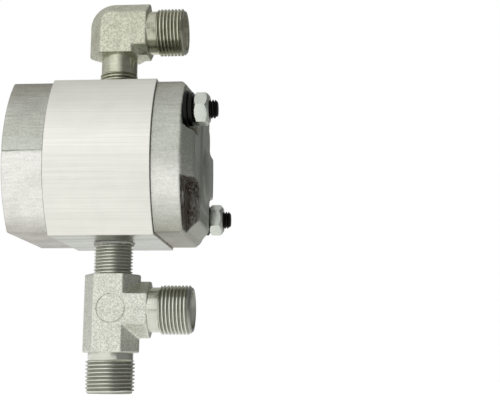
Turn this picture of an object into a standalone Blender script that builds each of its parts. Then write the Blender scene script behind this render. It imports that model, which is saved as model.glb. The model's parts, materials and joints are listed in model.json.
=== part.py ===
"""External gear pump for oil, with an elbow on its upper port and a tee on its lower one.

The frame is in metres with +Z up. The drive shaft lies along X and the origin is where its
axis meets the mounting face. The pump's body lies behind that face, towards +X.
Run with: blender --background --python part.py
"""
import math

import bmesh
import bpy
from mathutils import Vector

# Fits. Pieces that meet keep a small gap, as separate solids do.
FACE_GAP = 0.0003
ROUND_FIT = 0.00015

# Body section, seen along the shaft: two flat port faces joined by two shallow arcs.
HALF_DEPTH = 0.0491
HALF_HEIGHT = 0.0427
ARC_RISE = 0.3911 * HALF_HEIGHT
ARC_STEPS = 10

# Lengths along the shaft.
FRONT_COVER_LENGTH = 0.0223
HOUSING_LENGTH = 0.0568
REAR_FLANGE = 0.0156
REAR_SHOULDER = 0.0065
REAR_PAD_HEIGHT = 0.0008
REAR_PAD_HALF_WIDTH = 0.0165
REAR_PAD_HALF_HEIGHT = 0.0250
REAR_PAD_CORNER = 0.0060
COVER_INSET = 0.00145
COVER_ROUNDING = 0.0018

# Gears, journals and their bearings.
CENTRE_DISTANCE = 0.0350
TEETH = 12
PRESSURE_ANGLE = math.radians(20.0)
TIP_RADIUS = 0.0199
ROOT_RADIUS = 0.01425
FLANK_CLEARANCE = 0.0003
FLANK_STEPS = 3
JOURNAL_RADIUS = 0.0090
JOURNAL_SETBACK = 0.0015
BUSH_WALL = 0.0015
BLOCK_LENGTH = 0.0148
BEARING_CHAMFER = 0.0006

# Drive end, inside the pilot spigot.
PILOT_RADIUS = 0.0250
PILOT_LENGTH = 0.0060
PILOT_ROOT = 0.0053
PILOT_CHAMFER = 0.0008
PILOT_GROOVE_CENTRE = 0.0030
TANG_LENGTH = 0.0065
TANG_WIDTH = 0.0080
TANG_SPAN = 0.0166
TANG_START = 0.0020
SEAL_RADIUS = 0.0160
SEAL_LENGTH = 0.0070
SEAL_BACK = 0.0060
SEAL_CASE_WALL = 0.0022
SEAL_WEB = 0.0016
SEAL_LIP_WALL = 0.0018
SEAL_LIP_CHAMFER = 0.0008
RETAINER_THICKNESS = 0.0015
RETAINER_DEPTH = 0.0012
RETAINER_WIDTH = 0.0030
RETAINER_OPENING = 0.0080

# Rubber seals.
RING_SECTION = 0.0008
RING_GROOVE_DEPTH = 0.0019
BODY_SEAL_MARGIN = 0.0016
BALANCE_SEAL_RADIUS = 0.0150
BALANCE_SEAL_CUSP = 0.0060
BALANCE_SEAL_START = math.radians(65.0)
BALANCE_SEAL_END = math.radians(-135.0)

# Four bolt lines: two carry clamp studs, two are open for the mounting screws. Each keeps
# its distance from the round side, and a share of the way from chamber to port flat.
BOLT_FROM_SIDE = 0.0133
BOLT_SHARE = 0.1778
BOLT_RADIUS = 0.0050
BOLT_HOLE_CLEARANCE = 0.00025
STUD_START = 0.0045
STUD_TIP = 0.0050
STUD_CHAMFER = 0.0010
NUT_ACROSS = 0.0160
NUT_HEIGHT = 0.0084
NUT_CHAMFER = 0.0012
NUT_FACE_RADIUS = 0.0075
WASHER_RADIUS = 0.0100
WASHER_THICKNESS = 0.0020
SPRING_RADIUS = 0.00905
SPRING_THICKNESS = 0.0022
SPRING_SLOT = 0.0012
SPRING_SLOT_ANGLE = math.radians(35.0)
WASHER_HOLE_CLEARANCE = 0.0004
NUT_POCKET_RADIUS = 0.0136
SCREW_POCKET_DEPTH = 0.0170
SCREW_POCKET_HEIGHT = 0.0106
SCREW_POCKET_CORNER = 0.0084
POCKET_REACH = 0.0300

# Locating pins between the housing and its covers.
DOWEL_RADIUS = 0.0030
DOWEL_HALF_LENGTH = 0.0045
DOWEL_CHAMFER = 0.0005

# Ports in the housing.
PORT_HOLE_RADIUS = 0.01105
PORT_HOLE_DEPTH = 0.0140
PORT_PASSAGE_RADIUS = 0.0070
PORT_CHAMFER = 0.0010
PORT_OFFSET = 0.0004

# Pipe thread of both fittings, which screws into a port.
PIPE_RADIUS = 0.01075
PIPE_ENGAGEMENT = 0.0120
PIPE_CHAMFER = 0.0010
PIPE_BORE = 0.0062

# Male union ends of both fittings.
UNION_RADIUS = 0.0135
UNION_CHAMFER = 0.0016
UNION_NECK_RADIUS = 0.0121
CONE_MOUTH_RADIUS = 0.0102
CONE_SEAT_RADIUS = 0.0090
CONE_LENGTH = 0.0075
UNION_BORE = 0.0072

# Elbow, measured from where its two axes cross. Its forged section is widest at the
# middle land, from which the sides slope in to the front and back flats.
ELBOW_CENTRE = 0.0373
ELBOW_HALF_WIDTH = 0.0175
ELBOW_FLAT = 0.0091
ELBOW_DEPTH = 0.0125
ELBOW_LAND = 0.0015
ELBOW_CORNER = 0.0140
ELBOW_LEG = 0.0141
ELBOW_NECK_RADIUS = 0.0102
ELBOW_NECK_LENGTH = 0.0115
ELBOW_ARM_BODY = 0.0174
ELBOW_ARM = 0.0386
ELBOW_ARM_THREAD = 0.0159

# Tee, measured in the same way.
TEE_CENTRE = 0.0371
TEE_HALF_WIDTH = 0.0155
TEE_FLAT = 0.00815
TEE_DEPTH = 0.0123
TEE_LAND = 0.0020
TEE_UP = 0.0189
TEE_DOWN_BODY = 0.0232
TEE_DOWN = 0.04565
TEE_DOWN_THREAD = 0.0179
TEE_ARM_BODY = 0.0217
TEE_ARM = 0.0452
TEE_ARM_THREAD = 0.0176

# Round steps, and how far a cutter reaches past what it cuts.
STEPS_LARGE = 32
STEPS_MEDIUM = 24
STEPS_SMALL = 16
STEPS_PIN = 12
STEPS_SEAL = 8
STEPS_BALANCE = 7
STEPS_CORNER = 6
CUT_OVER = 0.0020
WELD = 0.00002

# Places that follow from the sizes above.
MID_Y = -CENTRE_DISTANCE / 2
DRIVEN_Y = -CENTRE_DISTANCE
ARC_RADIUS = (HALF_HEIGHT ** 2 + ARC_RISE ** 2) / (2 * ARC_RISE)
HOUSING_START = FRONT_COVER_LENGTH + FACE_GAP
HOUSING_END = HOUSING_START + HOUSING_LENGTH
REAR_START = HOUSING_END + FACE_GAP
SEAT_X = REAR_START + REAR_FLANGE
REAR_PLANE = SEAT_X + REAR_SHOULDER
PORT_X = HOUSING_START + HOUSING_LENGTH / 2 + PORT_OFFSET
CHAMBER_RADIUS = TIP_RADIUS + FACE_GAP
BUSH_INNER = JOURNAL_RADIUS + ROUND_FIT
BUSH_OUTER = BUSH_INNER + BUSH_WALL
BLOCK_BORE = BUSH_OUTER + ROUND_FIT
BLOCK_RADIUS = CHAMBER_RADIUS - ROUND_FIT
FRONT_BLOCK_START = HOUSING_START + FACE_GAP
REAR_BLOCK_END = HOUSING_END - FACE_GAP
GEAR_START = FRONT_BLOCK_START + BLOCK_LENGTH + FACE_GAP
GEAR_END = REAR_BLOCK_END - BLOCK_LENGTH - FACE_GAP
GEAR_WIDTH = GEAR_END - GEAR_START
HOLE_RADIUS = BOLT_RADIUS + BOLT_HOLE_CLEARANCE
BODY_SEAL_RADIUS = CHAMBER_RADIUS + BODY_SEAL_MARGIN
GROOVE_HALF_WIDTH = RING_SECTION + 2 * ROUND_FIT
BOLT_DEPTH = HALF_DEPTH - BOLT_FROM_SIDE
BOLT_HEIGHT = CHAMBER_RADIUS + BOLT_SHARE * (HALF_HEIGHT - CHAMBER_RADIUS)
DOWEL_HEIGHT = (BODY_SEAL_RADIUS + GROOVE_HALF_WIDTH + HALF_HEIGHT - COVER_INSET) / 2
UPPER_PORT_Z = HALF_HEIGHT
LOWER_PORT_Z = -HALF_HEIGHT
ELBOW_Z = UPPER_PORT_Z + ELBOW_CENTRE
TEE_Z = LOWER_PORT_Z - TEE_CENTRE

# Bolt lines in the section: the clamp studs are upper near and lower far.
CLAMP_PLACES = {
    "near": (MID_Y - BOLT_DEPTH, BOLT_HEIGHT),
    "far": (MID_Y + BOLT_DEPTH, -BOLT_HEIGHT),
}
OPEN_PLACES = {
    "near": (MID_Y - BOLT_DEPTH, -BOLT_HEIGHT),
    "far": (MID_Y + BOLT_DEPTH, BOLT_HEIGHT),
}

# Turns that lay a piece's own Z along one of the world's axes.
ALONG = {
    "x": (math.pi / 2, 0.0, math.pi / 2),
    "y": (math.pi / 2, 0.0, 0.0),
    "z": (0.0, 0.0, 0.0),
}

PARTS = None
CUTTERS = None


def clear_scene():
    """Remove what a new scene holds, such as its cube, lamp and camera."""
    for item in list(bpy.data.objects):
        bpy.data.objects.remove(item, do_unlink=True)


def new_collection(name):
    group = bpy.data.collections.new(name)
    bpy.context.scene.collection.children.link(group)
    return group


def material(name, colour, roughness, metallic):
    """A Principled material with a linear colour."""
    finish = bpy.data.materials.new(name)
    finish.use_nodes = True
    shader = finish.node_tree.nodes["Principled BSDF"]
    shader.inputs["Base Color"].default_value = (*colour, 1.0)
    shader.inputs["Roughness"].default_value = roughness
    shader.inputs["Metallic"].default_value = metallic
    finish.diffuse_color = (*colour, 1.0)
    return finish


def as_part(item, name, finish):
    """Make an object a named piece of the pump with a material of its own."""
    item.name = name
    item.data.name = name
    item.data.materials.clear()
    item.data.materials.append(material(name, *finish))
    PARTS.objects.link(item)
    return item


def as_cutter(item):
    """Make an object a helper that shapes others and is not a piece itself."""
    CUTTERS.objects.link(item)
    item.hide_render = True
    item.display_type = "WIRE"
    return item


def combine(item, helper, operation):
    """Cut, join or intersect an object with a helper."""
    step = item.modifiers.new(f"{operation.lower()} {helper.name}", "BOOLEAN")
    step.operation = operation
    step.solver = "EXACT"
    step.object = helper
    return item


def cut(item, helper):
    return combine(item, as_cutter(helper), "DIFFERENCE")


def join(item, helper):
    return combine(item, as_cutter(helper), "UNION")


def keep_inside(item, helper):
    return combine(item, as_cutter(helper), "INTERSECT")


def place(item, location, along):
    item.location = location
    item.rotation_euler = ALONG[along]
    return item


def turned(name, profile, location=(0, 0, 0), along="x", steps=STEPS_MEDIUM):
    """A turned piece. The profile gives (radius, place along the axis), its outer side
    running from the far end back to the near end; it closes on itself off the axis."""
    mesh = bpy.data.meshes.new(name)
    points = [(radius, 0.0, at) for radius, at in profile]
    edges = [(i, i + 1) for i in range(len(points) - 1)]
    on_axis = profile[0][0] == 0.0 and profile[-1][0] == 0.0
    if not on_axis:
        edges.append((len(points) - 1, 0))
    mesh.from_pydata(points, edges, [])
    item = bpy.data.objects.new(name, mesh)
    screw = item.modifiers.new("turn", "SCREW")
    screw.axis = "Z"
    screw.angle = math.tau
    screw.steps = steps
    screw.render_steps = steps
    screw.use_merge_vertices = True
    screw.merge_threshold = 0.00001
    screw.use_smooth_shade = True
    return place(item, location, along)


def rod(name, radius, start, end, location=(0, 0, 0), along="x", steps=STEPS_SMALL):
    """A plain round bar between two places on its axis."""
    mesh = bpy.data.meshes.new(name)
    shape = bmesh.new()
    bmesh.ops.create_cone(
        shape, cap_ends=True, segments=steps, radius1=radius, radius2=radius, depth=end - start
    )
    bmesh.ops.translate(shape, verts=shape.verts, vec=(0, 0, (start + end) / 2))
    shape.to_mesh(mesh)
    shape.free()
    return place(bpy.data.objects.new(name, mesh), location, along)


def block(name, size, location, turn=(0, 0, 0)):
    """A box of a given size, centred at its location."""
    mesh = bpy.data.meshes.new(name)
    shape = bmesh.new()
    bmesh.ops.create_cube(shape, size=1.0)
    bmesh.ops.scale(shape, verts=shape.verts, vec=size)
    shape.to_mesh(mesh)
    shape.free()
    item = bpy.data.objects.new(name, mesh)
    item.location = location
    item.rotation_euler = turn
    return item


def curve_to_mesh(source, name):
    """Turn a curve object into a closed mesh object at the same place."""
    bpy.context.scene.collection.objects.link(source)
    bpy.context.view_layer.update()
    depsgraph = bpy.context.evaluated_depsgraph_get()
    mesh = bpy.data.meshes.new_from_object(source.evaluated_get(depsgraph))
    shape = bmesh.new()
    shape.from_mesh(mesh)
    bmesh.ops.remove_doubles(shape, verts=shape.verts, dist=0.000001)
    bmesh.ops.recalc_face_normals(shape, faces=shape.faces)
    shape.to_mesh(mesh)
    shape.free()
    item = bpy.data.objects.new(name, mesh)
    item.matrix_world = source.matrix_world
    bpy.data.objects.remove(source, do_unlink=True)
    return item


def prism(name, outline, start, end, location=(0, 0, 0), along="x", hole=None):
    """A flat outline, with a hole if one is given, drawn out between two places."""
    curve = bpy.data.curves.new(name, "CURVE")
    curve.dimensions = "2D"
    curve.fill_mode = "BOTH"
    curve.extrude = (end - start) / 2
    for ring in (outline, hole) if hole else (outline,):
        spline = curve.splines.new("POLY")
        spline.points.add(len(ring) - 1)
        for point, (u, v) in zip(spline.points, ring):
            point.co = (u, v, 0.0, 1.0)
        spline.use_cyclic_u = True
    source = place(bpy.data.objects.new(name, curve), location, along)
    shift = source.rotation_euler.to_matrix() @ Vector((0, 0, (start + end) / 2))
    source.location = Vector(location) + shift
    return curve_to_mesh(source, name)


def tube(name, points, radius, cyclic, sides=1):
    """A solid round cord along points given in world space."""
    curve = bpy.data.curves.new(name, "CURVE")
    curve.dimensions = "3D"
    curve.bevel_depth = radius
    curve.bevel_resolution = sides
    curve.use_fill_caps = True
    spline = curve.splines.new("POLY")
    spline.points.add(len(points) - 1)
    for point, place_at in zip(spline.points, points):
        point.co = (*place_at, 1.0)
    spline.use_cyclic_u = cyclic
    return curve_to_mesh(bpy.data.objects.new(name, curve), name)


def arc(centre, radius, start, end, steps):
    """Points on an arc, both ends included, with angles in radians."""
    step = (end - start) / steps
    return [
        (
            centre[0] + radius * math.cos(start + step * i),
            centre[1] + radius * math.sin(start + step * i),
        )
        for i in range(steps + 1)
    ]


def body_outline(inset):
    """The pump's section in (Y, Z), drawn in by an inset from the housing's own."""
    radius = ARC_RADIUS - inset
    reach = math.asin((HALF_HEIGHT - inset) / radius)
    shift = ARC_RADIUS - HALF_DEPTH
    far = arc((MID_Y - shift, 0), radius, -reach, reach, ARC_STEPS)
    near = arc((MID_Y + shift, 0), radius, math.pi - reach, math.pi + reach, ARC_STEPS)
    return far + near


def rounded_rectangle(half_u, half_v, corner, steps, centre=(0, 0)):
    points = []
    for quarter, (su, sv) in enumerate(((1, 1), (-1, 1), (-1, -1), (1, -1))):
        middle = (centre[0] + su * (half_u - corner), centre[1] + sv * (half_v - corner))
        turn = quarter * math.pi / 2
        points += arc(middle, corner, turn, turn + math.pi / 2, steps)
    return points


def forged_section(half_width, flat, depth, land):
    """Section of a forged bar: two flats, and sides that slope out to a narrow land."""
    return [
        (half_width, -land), (half_width, land), (flat, depth), (-flat, depth),
        (-half_width, land), (-half_width, -land), (-flat, -depth), (flat, -depth),
    ]


def swapped(outline):
    """The same outline with its two directions exchanged."""
    return [(v, u) for u, v in reversed(outline)]


def stadium(radius, steps):
    """Path around both gear chambers in (Y, Z)."""
    far = arc((0, 0), radius, -math.pi / 2, math.pi / 2, steps)
    near = arc((DRIVEN_Y, 0), radius, math.pi / 2, math.pi * 3 / 2, steps)
    return far + near


def at_x(x, points):
    return [(x, y, z) for y, z in points]


def weight_edges(item, plane_x, least_angle=math.radians(25.0)):
    """Mark for rounding every edge that turns, apart from those on one joint face."""
    shape = bmesh.new()
    shape.from_mesh(item.data)
    layer = shape.edges.layers.float.new("bevel_weight_edge")
    for edge in shape.edges:
        on_joint = all(
            abs((item.matrix_world @ vertex.co).x - plane_x) < FACE_GAP for vertex in edge.verts
        )
        if not on_joint and edge.calc_face_angle(0.0) > least_angle:
            edge[layer] = 1.0
    shape.to_mesh(item.data)
    shape.free()


def round_edges(item, width, steps):
    bevel = item.modifiers.new("rounding", "BEVEL")
    bevel.limit_method = "WEIGHT"
    bevel.width = width
    bevel.segments = steps


def groove_cutter(name, radius, start, end):
    """The groove of a body seal: a band along the stadium path."""
    outer = stadium(radius + GROOVE_HALF_WIDTH, STEPS_SEAL)
    inner = stadium(radius - GROOVE_HALF_WIDTH, STEPS_SEAL)
    return prism(name, outer, start, end, hole=inner)


def drill(item, kind, places, radius, start, end):
    """Round holes along the shaft's direction at two of the bolt lines."""
    for side, (y, z) in places.items():
        name = f"{item.name} {kind} hole {side}"
        cut(item, rod(name, radius, start, end, (0, y, z)))


def drill_dowels(item, joint_x):
    """Blind holes for the two locating pins at one joint."""
    reach = DOWEL_HALF_LENGTH + FACE_GAP
    for side, z in (("upper", DOWEL_HEIGHT), ("lower", -DOWEL_HEIGHT)):
        name = f"{item.name} dowel hole {side} {joint_x:.3f}"
        radius = DOWEL_RADIUS + ROUND_FIT
        hole = rod(name, radius, joint_x - reach, joint_x + reach, (0, MID_Y, z), steps=STEPS_PIN)
        cut(item, hole)


def front_cover():
    """Cast front cover with the pilot spigot, the seal's seat and the screw recesses."""
    cover = prism("front_cover", body_outline(COVER_INSET), 0, FRONT_COVER_LENGTH)
    weight_edges(cover, FRONT_COVER_LENGTH)
    round_edges(cover, COVER_ROUNDING, 2)
    as_part(cover, "front_cover", ((0.62, 0.60, 0.56), 0.38, 0.9))
    outer = PILOT_RADIUS - PILOT_CHAMFER
    groove_bottom = PILOT_RADIUS - RING_GROOVE_DEPTH
    groove_half = RING_SECTION + ROUND_FIT
    join(cover, turned(
        "pilot spigot",
        [(0, PILOT_ROOT), (PILOT_RADIUS, PILOT_ROOT),
         (PILOT_RADIUS, groove_half - PILOT_GROOVE_CENTRE),
         (groove_bottom, groove_half - PILOT_GROOVE_CENTRE),
         (groove_bottom, -groove_half - PILOT_GROOVE_CENTRE),
         (PILOT_RADIUS, -groove_half - PILOT_GROOVE_CENTRE),
         (PILOT_RADIUS, PILOT_CHAMFER - PILOT_LENGTH),
         (outer, -PILOT_LENGTH), (0, -PILOT_LENGTH)],
        steps=STEPS_LARGE,
    ))
    seat = SEAL_RADIUS + ROUND_FIT
    retainer_end = SEAL_BACK - SEAL_LENGTH - FACE_GAP
    retainer_start = retainer_end - RETAINER_THICKNESS - 2 * FACE_GAP
    ring_seat = SEAL_RADIUS + RETAINER_DEPTH + ROUND_FIT
    clear_bore = JOURNAL_RADIUS + FACE_GAP
    mouth = -PILOT_LENGTH - CUT_OVER
    through = FRONT_COVER_LENGTH + CUT_OVER
    back = SEAL_BACK + FACE_GAP
    cut(cover, turned(
        "seal seat and shaft bore",
        [(0, through), (clear_bore, through), (clear_bore, back), (seat, back),
         (seat, retainer_end + FACE_GAP), (ring_seat, retainer_end + FACE_GAP),
         (ring_seat, retainer_start), (seat, retainer_start), (seat, mouth), (0, mouth)],
    ))
    drill(cover, "mounting", OPEN_PLACES, HOLE_RADIUS, -CUT_OVER, through)
    blind_end = STUD_START - FACE_GAP
    drill(cover, "stud", CLAMP_PLACES, BOLT_RADIUS + ROUND_FIT, blind_end, through)
    groove_start = FRONT_COVER_LENGTH - RING_GROOVE_DEPTH
    cut(cover, groove_cutter(
        "front seal groove", BODY_SEAL_RADIUS, groove_start, FRONT_COVER_LENGTH + CUT_OVER
    ))
    drill_dowels(cover, FRONT_COVER_LENGTH + FACE_GAP / 2)
    return cover


def gear_housing():
    """Extruded gear housing with the two gear chambers and the two ports."""
    housing = prism("gear_housing", body_outline(0.0), HOUSING_START, HOUSING_END)
    as_part(housing, "gear_housing", ((0.66, 0.65, 0.61), 0.32, 0.9))
    start = HOUSING_START - CUT_OVER
    end = HOUSING_END + CUT_OVER
    for name, y in (("drive chamber", 0.0), ("driven chamber", DRIVEN_Y)):
        cut(housing, rod(name, CHAMBER_RADIUS, start, end, (0, y, 0), steps=STEPS_LARGE))
    drill(housing, "mounting", OPEN_PLACES, HOLE_RADIUS, start, end)
    drill(housing, "stud", CLAMP_PLACES, HOLE_RADIUS, start, end)
    mouth = HALF_HEIGHT + CUT_OVER
    bottom = HALF_HEIGHT - PORT_HOLE_DEPTH
    wide = PORT_HOLE_RADIUS + PORT_CHAMFER
    upper = [
        (0, mouth), (wide + CUT_OVER, mouth), (PORT_HOLE_RADIUS, HALF_HEIGHT - PORT_CHAMFER),
        (PORT_HOLE_RADIUS, bottom), (PORT_PASSAGE_RADIUS, bottom),
        (PORT_PASSAGE_RADIUS, PORT_PASSAGE_RADIUS), (0, PORT_PASSAGE_RADIUS),
    ]
    lower = [(radius, -at) for radius, at in reversed(upper)]
    for name, profile in (("upper port", upper), ("lower port", lower)):
        cut(housing, turned(name, profile, (PORT_X, MID_Y, 0), "z"))
    drill_dowels(housing, HOUSING_START - FACE_GAP / 2)
    drill_dowels(housing, HOUSING_END + FACE_GAP / 2)
    return housing


def screw_pocket_outline(side):
    """Open corner pocket for a mounting screw, in (Y, Z), with one rounded inner corner."""
    y, z = OPEN_PLACES[side]
    out_y = -1 if y < MID_Y else 1
    out_z = -1 if z < 0 else 1
    inner_y = y - out_y * SCREW_POCKET_DEPTH
    inner_z = z - out_z * SCREW_POCKET_HEIGHT
    middle = (inner_y + out_y * SCREW_POCKET_CORNER, inner_z + out_z * SCREW_POCKET_CORNER)
    corner = [
        (
            middle[0] - out_y * SCREW_POCKET_CORNER * math.cos(turn),
            middle[1] - out_z * SCREW_POCKET_CORNER * math.sin(turn),
        )
        for turn in (math.pi / 2 * i / STEPS_CORNER for i in range(STEPS_CORNER + 1))
    ]
    edge_y = y + out_y * POCKET_REACH
    edge_z = z + out_z * POCKET_REACH
    return [(inner_y, edge_z)] + corner + [(edge_y, inner_z), (edge_y, edge_z)]


def rear_cover():
    """Cast rear cover: flange, sloped shoulder, nut pockets and open screw pockets."""
    cover = prism("rear_cover", body_outline(COVER_INSET), REAR_START, REAR_PLANE)
    shape = bmesh.new()
    shape.from_mesh(cover.data)
    rim = [
        edge for edge in shape.edges
        if edge.calc_face_angle(0.0) > math.radians(60.0)
        and all((cover.matrix_world @ v.co).x > REAR_PLANE - FACE_GAP for v in edge.verts)
    ]
    bmesh.ops.bevel(
        shape, geom=rim, offset=REAR_SHOULDER, offset_type="OFFSET", segments=1,
        profile=0.5, affect="EDGES", clamp_overlap=False,
    )
    shape.to_mesh(cover.data)
    shape.free()
    weight_edges(cover, REAR_START)
    round_edges(cover, COVER_ROUNDING, 2)
    as_part(cover, "rear_cover", ((0.55, 0.56, 0.53), 0.45, 0.85))
    pad = rounded_rectangle(
        REAR_PAD_HALF_WIDTH, REAR_PAD_HALF_HEIGHT, REAR_PAD_CORNER, STEPS_CORNER, (MID_Y, 0)
    )
    join(cover, prism("rear pad", pad, REAR_PLANE - CUT_OVER, REAR_PLANE + REAR_PAD_HEIGHT))
    beyond = REAR_PLANE + CUT_OVER
    for side, (y, z) in CLAMP_PLACES.items():
        name = f"nut pocket {side}"
        cut(cover, rod(name, NUT_POCKET_RADIUS, SEAT_X, beyond, (0, y, z), steps=STEPS_MEDIUM))
    for side in OPEN_PLACES:
        cut(cover, prism(f"screw pocket {side}", screw_pocket_outline(side), SEAT_X, beyond))
    before = REAR_START - CUT_OVER
    drill(cover, "mounting", OPEN_PLACES, HOLE_RADIUS, before, beyond)
    drill(cover, "stud", CLAMP_PLACES, HOLE_RADIUS, before, beyond)
    groove_end = REAR_START + RING_GROOVE_DEPTH
    cut(cover, groove_cutter(
        "rear seal groove", BODY_SEAL_RADIUS, REAR_START - CUT_OVER, groove_end
    ))
    drill_dowels(cover, REAR_START - FACE_GAP / 2)
    return cover


def tooth_outline(first_tooth):
    """Twelve involute teeth in (Y, Z), the first one pointing at a given angle."""
    pitch_radius = CENTRE_DISTANCE / 2
    base_radius = pitch_radius * math.cos(PRESSURE_ANGLE)
    slack = FLANK_CLEARANCE / (2 * pitch_radius)
    at_pitch = math.pi / (2 * TEETH) - slack / 2
    at_base = at_pitch + math.tan(PRESSURE_ANGLE) - PRESSURE_ANGLE

    def half_angle(radius):
        if radius <= base_radius:
            return at_base
        roll = math.acos(base_radius / radius)
        return at_base - (math.tan(roll) - roll)

    radii = [base_radius + (TIP_RADIUS - base_radius) * i / FLANK_STEPS
             for i in range(FLANK_STEPS + 1)]
    points = []
    for tooth in range(TEETH):
        middle = first_tooth + tooth * math.tau / TEETH
        rising = [(ROOT_RADIUS, middle - at_base)]
        rising += [(radius, middle - half_angle(radius)) for radius in radii]
        falling = [(radius, middle + half_angle(radius)) for radius in reversed(radii)]
        falling.append((ROOT_RADIUS, middle + at_base))
        points += [(r * math.cos(a), r * math.sin(a)) for r, a in rising + falling]
    return points


def gear(name, y, first_tooth, front_end, rear_end, finish):
    """A gear with its shaft in one piece, its origin on its own axis."""
    middle = (GEAR_START + GEAR_END) / 2
    half = GEAR_WIDTH / 2
    item = prism(name, tooth_outline(first_tooth), -half, half, (middle, y, 0))
    as_part(item, name, finish)
    core = JOURNAL_RADIUS - BEARING_CHAMFER
    join(item, turned(
        f"{name} shaft",
        [(0, rear_end), (core, rear_end), (JOURNAL_RADIUS, rear_end - BEARING_CHAMFER),
         (JOURNAL_RADIUS, front_end + BEARING_CHAMFER), (core, front_end), (0, front_end)],
        (0, y, 0),
    ))
    return item


def drive_gear():
    """Drive gear, whose shaft passes the seal and ends in a flat tang."""
    rear_end = HOUSING_END - JOURNAL_SETBACK
    item = gear("drive_gear", 0.0, math.pi, -TANG_START, rear_end, ((0.42, 0.42, 0.43), 0.3, 1.0))
    length = TANG_LENGTH + CUT_OVER
    centre = -TANG_START - TANG_LENGTH + length / 2
    join(item, block("drive tang", (length, TANG_SPAN, TANG_WIDTH), (centre, 0, 0)))
    return item


def driven_gear():
    front_end = HOUSING_START + JOURNAL_SETBACK
    rear_end = HOUSING_END - JOURNAL_SETBACK
    first_gap = math.pi / TEETH
    return gear(
        "driven_gear", DRIVEN_Y, first_gap, front_end, rear_end, ((0.42, 0.42, 0.43), 0.3, 1.0)
    )


def block_outline():
    """Figure-eight section of a bearing block, made of two meeting circles."""
    half = math.acos(CENTRE_DISTANCE / 2 / BLOCK_RADIUS)
    far = arc((0, 0), BLOCK_RADIUS, -math.pi + half, math.pi - half, STEPS_MEDIUM)
    near = arc((DRIVEN_Y, 0), BLOCK_RADIUS, half, math.tau - half, STEPS_MEDIUM)
    return far + near[1:-1]


def balance_seal_path():
    """Path of the seal on a block's back: an arc round each journal, meeting in a cusp."""
    far = arc(
        (0, 0), BALANCE_SEAL_RADIUS, BALANCE_SEAL_START, BALANCE_SEAL_END, STEPS_BALANCE
    )
    cusp = [(MID_Y, -BALANCE_SEAL_CUSP)]
    near = [(2 * MID_Y - y, z) for y, z in reversed(far)]
    return far + cusp + near


def bushing_block(name, start, back_x):
    """Floating bearing block with two bores and the groove of its balance seal."""
    end = start + BLOCK_LENGTH
    item = prism(name, block_outline(), start, end)
    as_part(item, name, ((0.60, 0.60, 0.60), 0.35, 0.9))
    for side, y in (("drive", 0.0), ("driven", DRIVEN_Y)):
        cut(item, rod(
            f"{name} {side} bore", BLOCK_BORE, start - CUT_OVER, end + CUT_OVER, (0, y, 0),
            steps=STEPS_MEDIUM,
        ))
    path = balance_seal_path()
    groove = tube(f"{name} groove", at_x(back_x, path), RING_SECTION + 2 * ROUND_FIT, False)
    cut(item, groove)
    return item


def bearing_bush(name, y, start):
    """Thin plain bearing pressed into a block."""
    near = start + FACE_GAP
    far = start + BLOCK_LENGTH - FACE_GAP
    return as_part(turned(
        name, [(BUSH_OUTER, far), (BUSH_OUTER, near), (BUSH_INNER, near), (BUSH_INNER, far)],
        (0, y, 0),
    ), name, ((0.40, 0.28, 0.17), 0.4, 0.9))


def shaft_seal():
    """Lip seal: an outer case, a thin web and a lip that rests on the shaft."""
    front = SEAL_BACK - SEAL_LENGTH
    back = SEAL_BACK
    lip = JOURNAL_RADIUS + ROUND_FIT
    case_inner = SEAL_RADIUS - SEAL_CASE_WALL
    lip_outer = lip + SEAL_LIP_WALL
    web = front + SEAL_WEB
    lip_end = back - SEAL_LIP_CHAMFER
    return as_part(turned(
        "shaft_seal",
        [(SEAL_RADIUS, back), (SEAL_RADIUS, front), (lip + SEAL_LIP_CHAMFER, front),
         (lip, web), (lip, lip_end), (lip_outer, lip_end),
         (lip_outer, web), (case_inner, web), (case_inner, back)],
    ), "shaft_seal", ((0.02, 0.02, 0.02), 0.6, 0.0))


def seal_retaining_ring():
    """Split ring that holds the shaft seal in the spigot."""
    end = SEAL_BACK - SEAL_LENGTH - FACE_GAP
    start = end - RETAINER_THICKNESS
    outer = SEAL_RADIUS + RETAINER_DEPTH - ROUND_FIT
    inner = outer - RETAINER_WIDTH
    ring = as_part(turned(
        "seal_retaining_ring",
        [(outer, end), (outer, start), (inner, start), (inner, end)],
    ), "seal_retaining_ring", ((0.10, 0.10, 0.10), 0.4, 0.9))
    cut(ring, block(
        "retaining ring opening",
        (RETAINER_THICKNESS + CUT_OVER, 2 * RETAINER_WIDTH + CUT_OVER, RETAINER_OPENING),
        ((start + end) / 2, outer, 0),
    ))
    return ring


def body_seal(name, joint_x):
    """Rubber ring in a cover's groove, round both gear chambers."""
    path = at_x(joint_x, stadium(BODY_SEAL_RADIUS, STEPS_SEAL))
    return as_part(tube(name, path, RING_SECTION, True), name, ((0.02, 0.02, 0.02), 0.6, 0.0))


def balance_seal(name, back_x, into_block):
    """Rubber strip in the back of a bearing block."""
    path = at_x(back_x + into_block * FACE_GAP, balance_seal_path())
    radius = RING_SECTION - ROUND_FIT
    return as_part(tube(name, path, radius, False), name, ((0.03, 0.03, 0.02), 0.6, 0.0))


def pilot_o_ring():
    """Rubber ring in the spigot's groove."""
    radius = RING_SECTION
    middle = PILOT_RADIUS - RING_GROOVE_DEPTH + ROUND_FIT + radius
    profile = [
        (middle + radius * math.cos(turn), radius * math.sin(turn) - PILOT_GROOVE_CENTRE)
        for turn in (-math.tau * i / 6 for i in range(6))
    ]
    ring = turned("pilot_o_ring", profile, steps=STEPS_LARGE)
    return as_part(ring, "pilot_o_ring", ((0.02, 0.02, 0.02), 0.6, 0.0))


def nut_start():
    return SEAT_X + 3 * FACE_GAP + WASHER_THICKNESS + SPRING_THICKNESS


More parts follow.
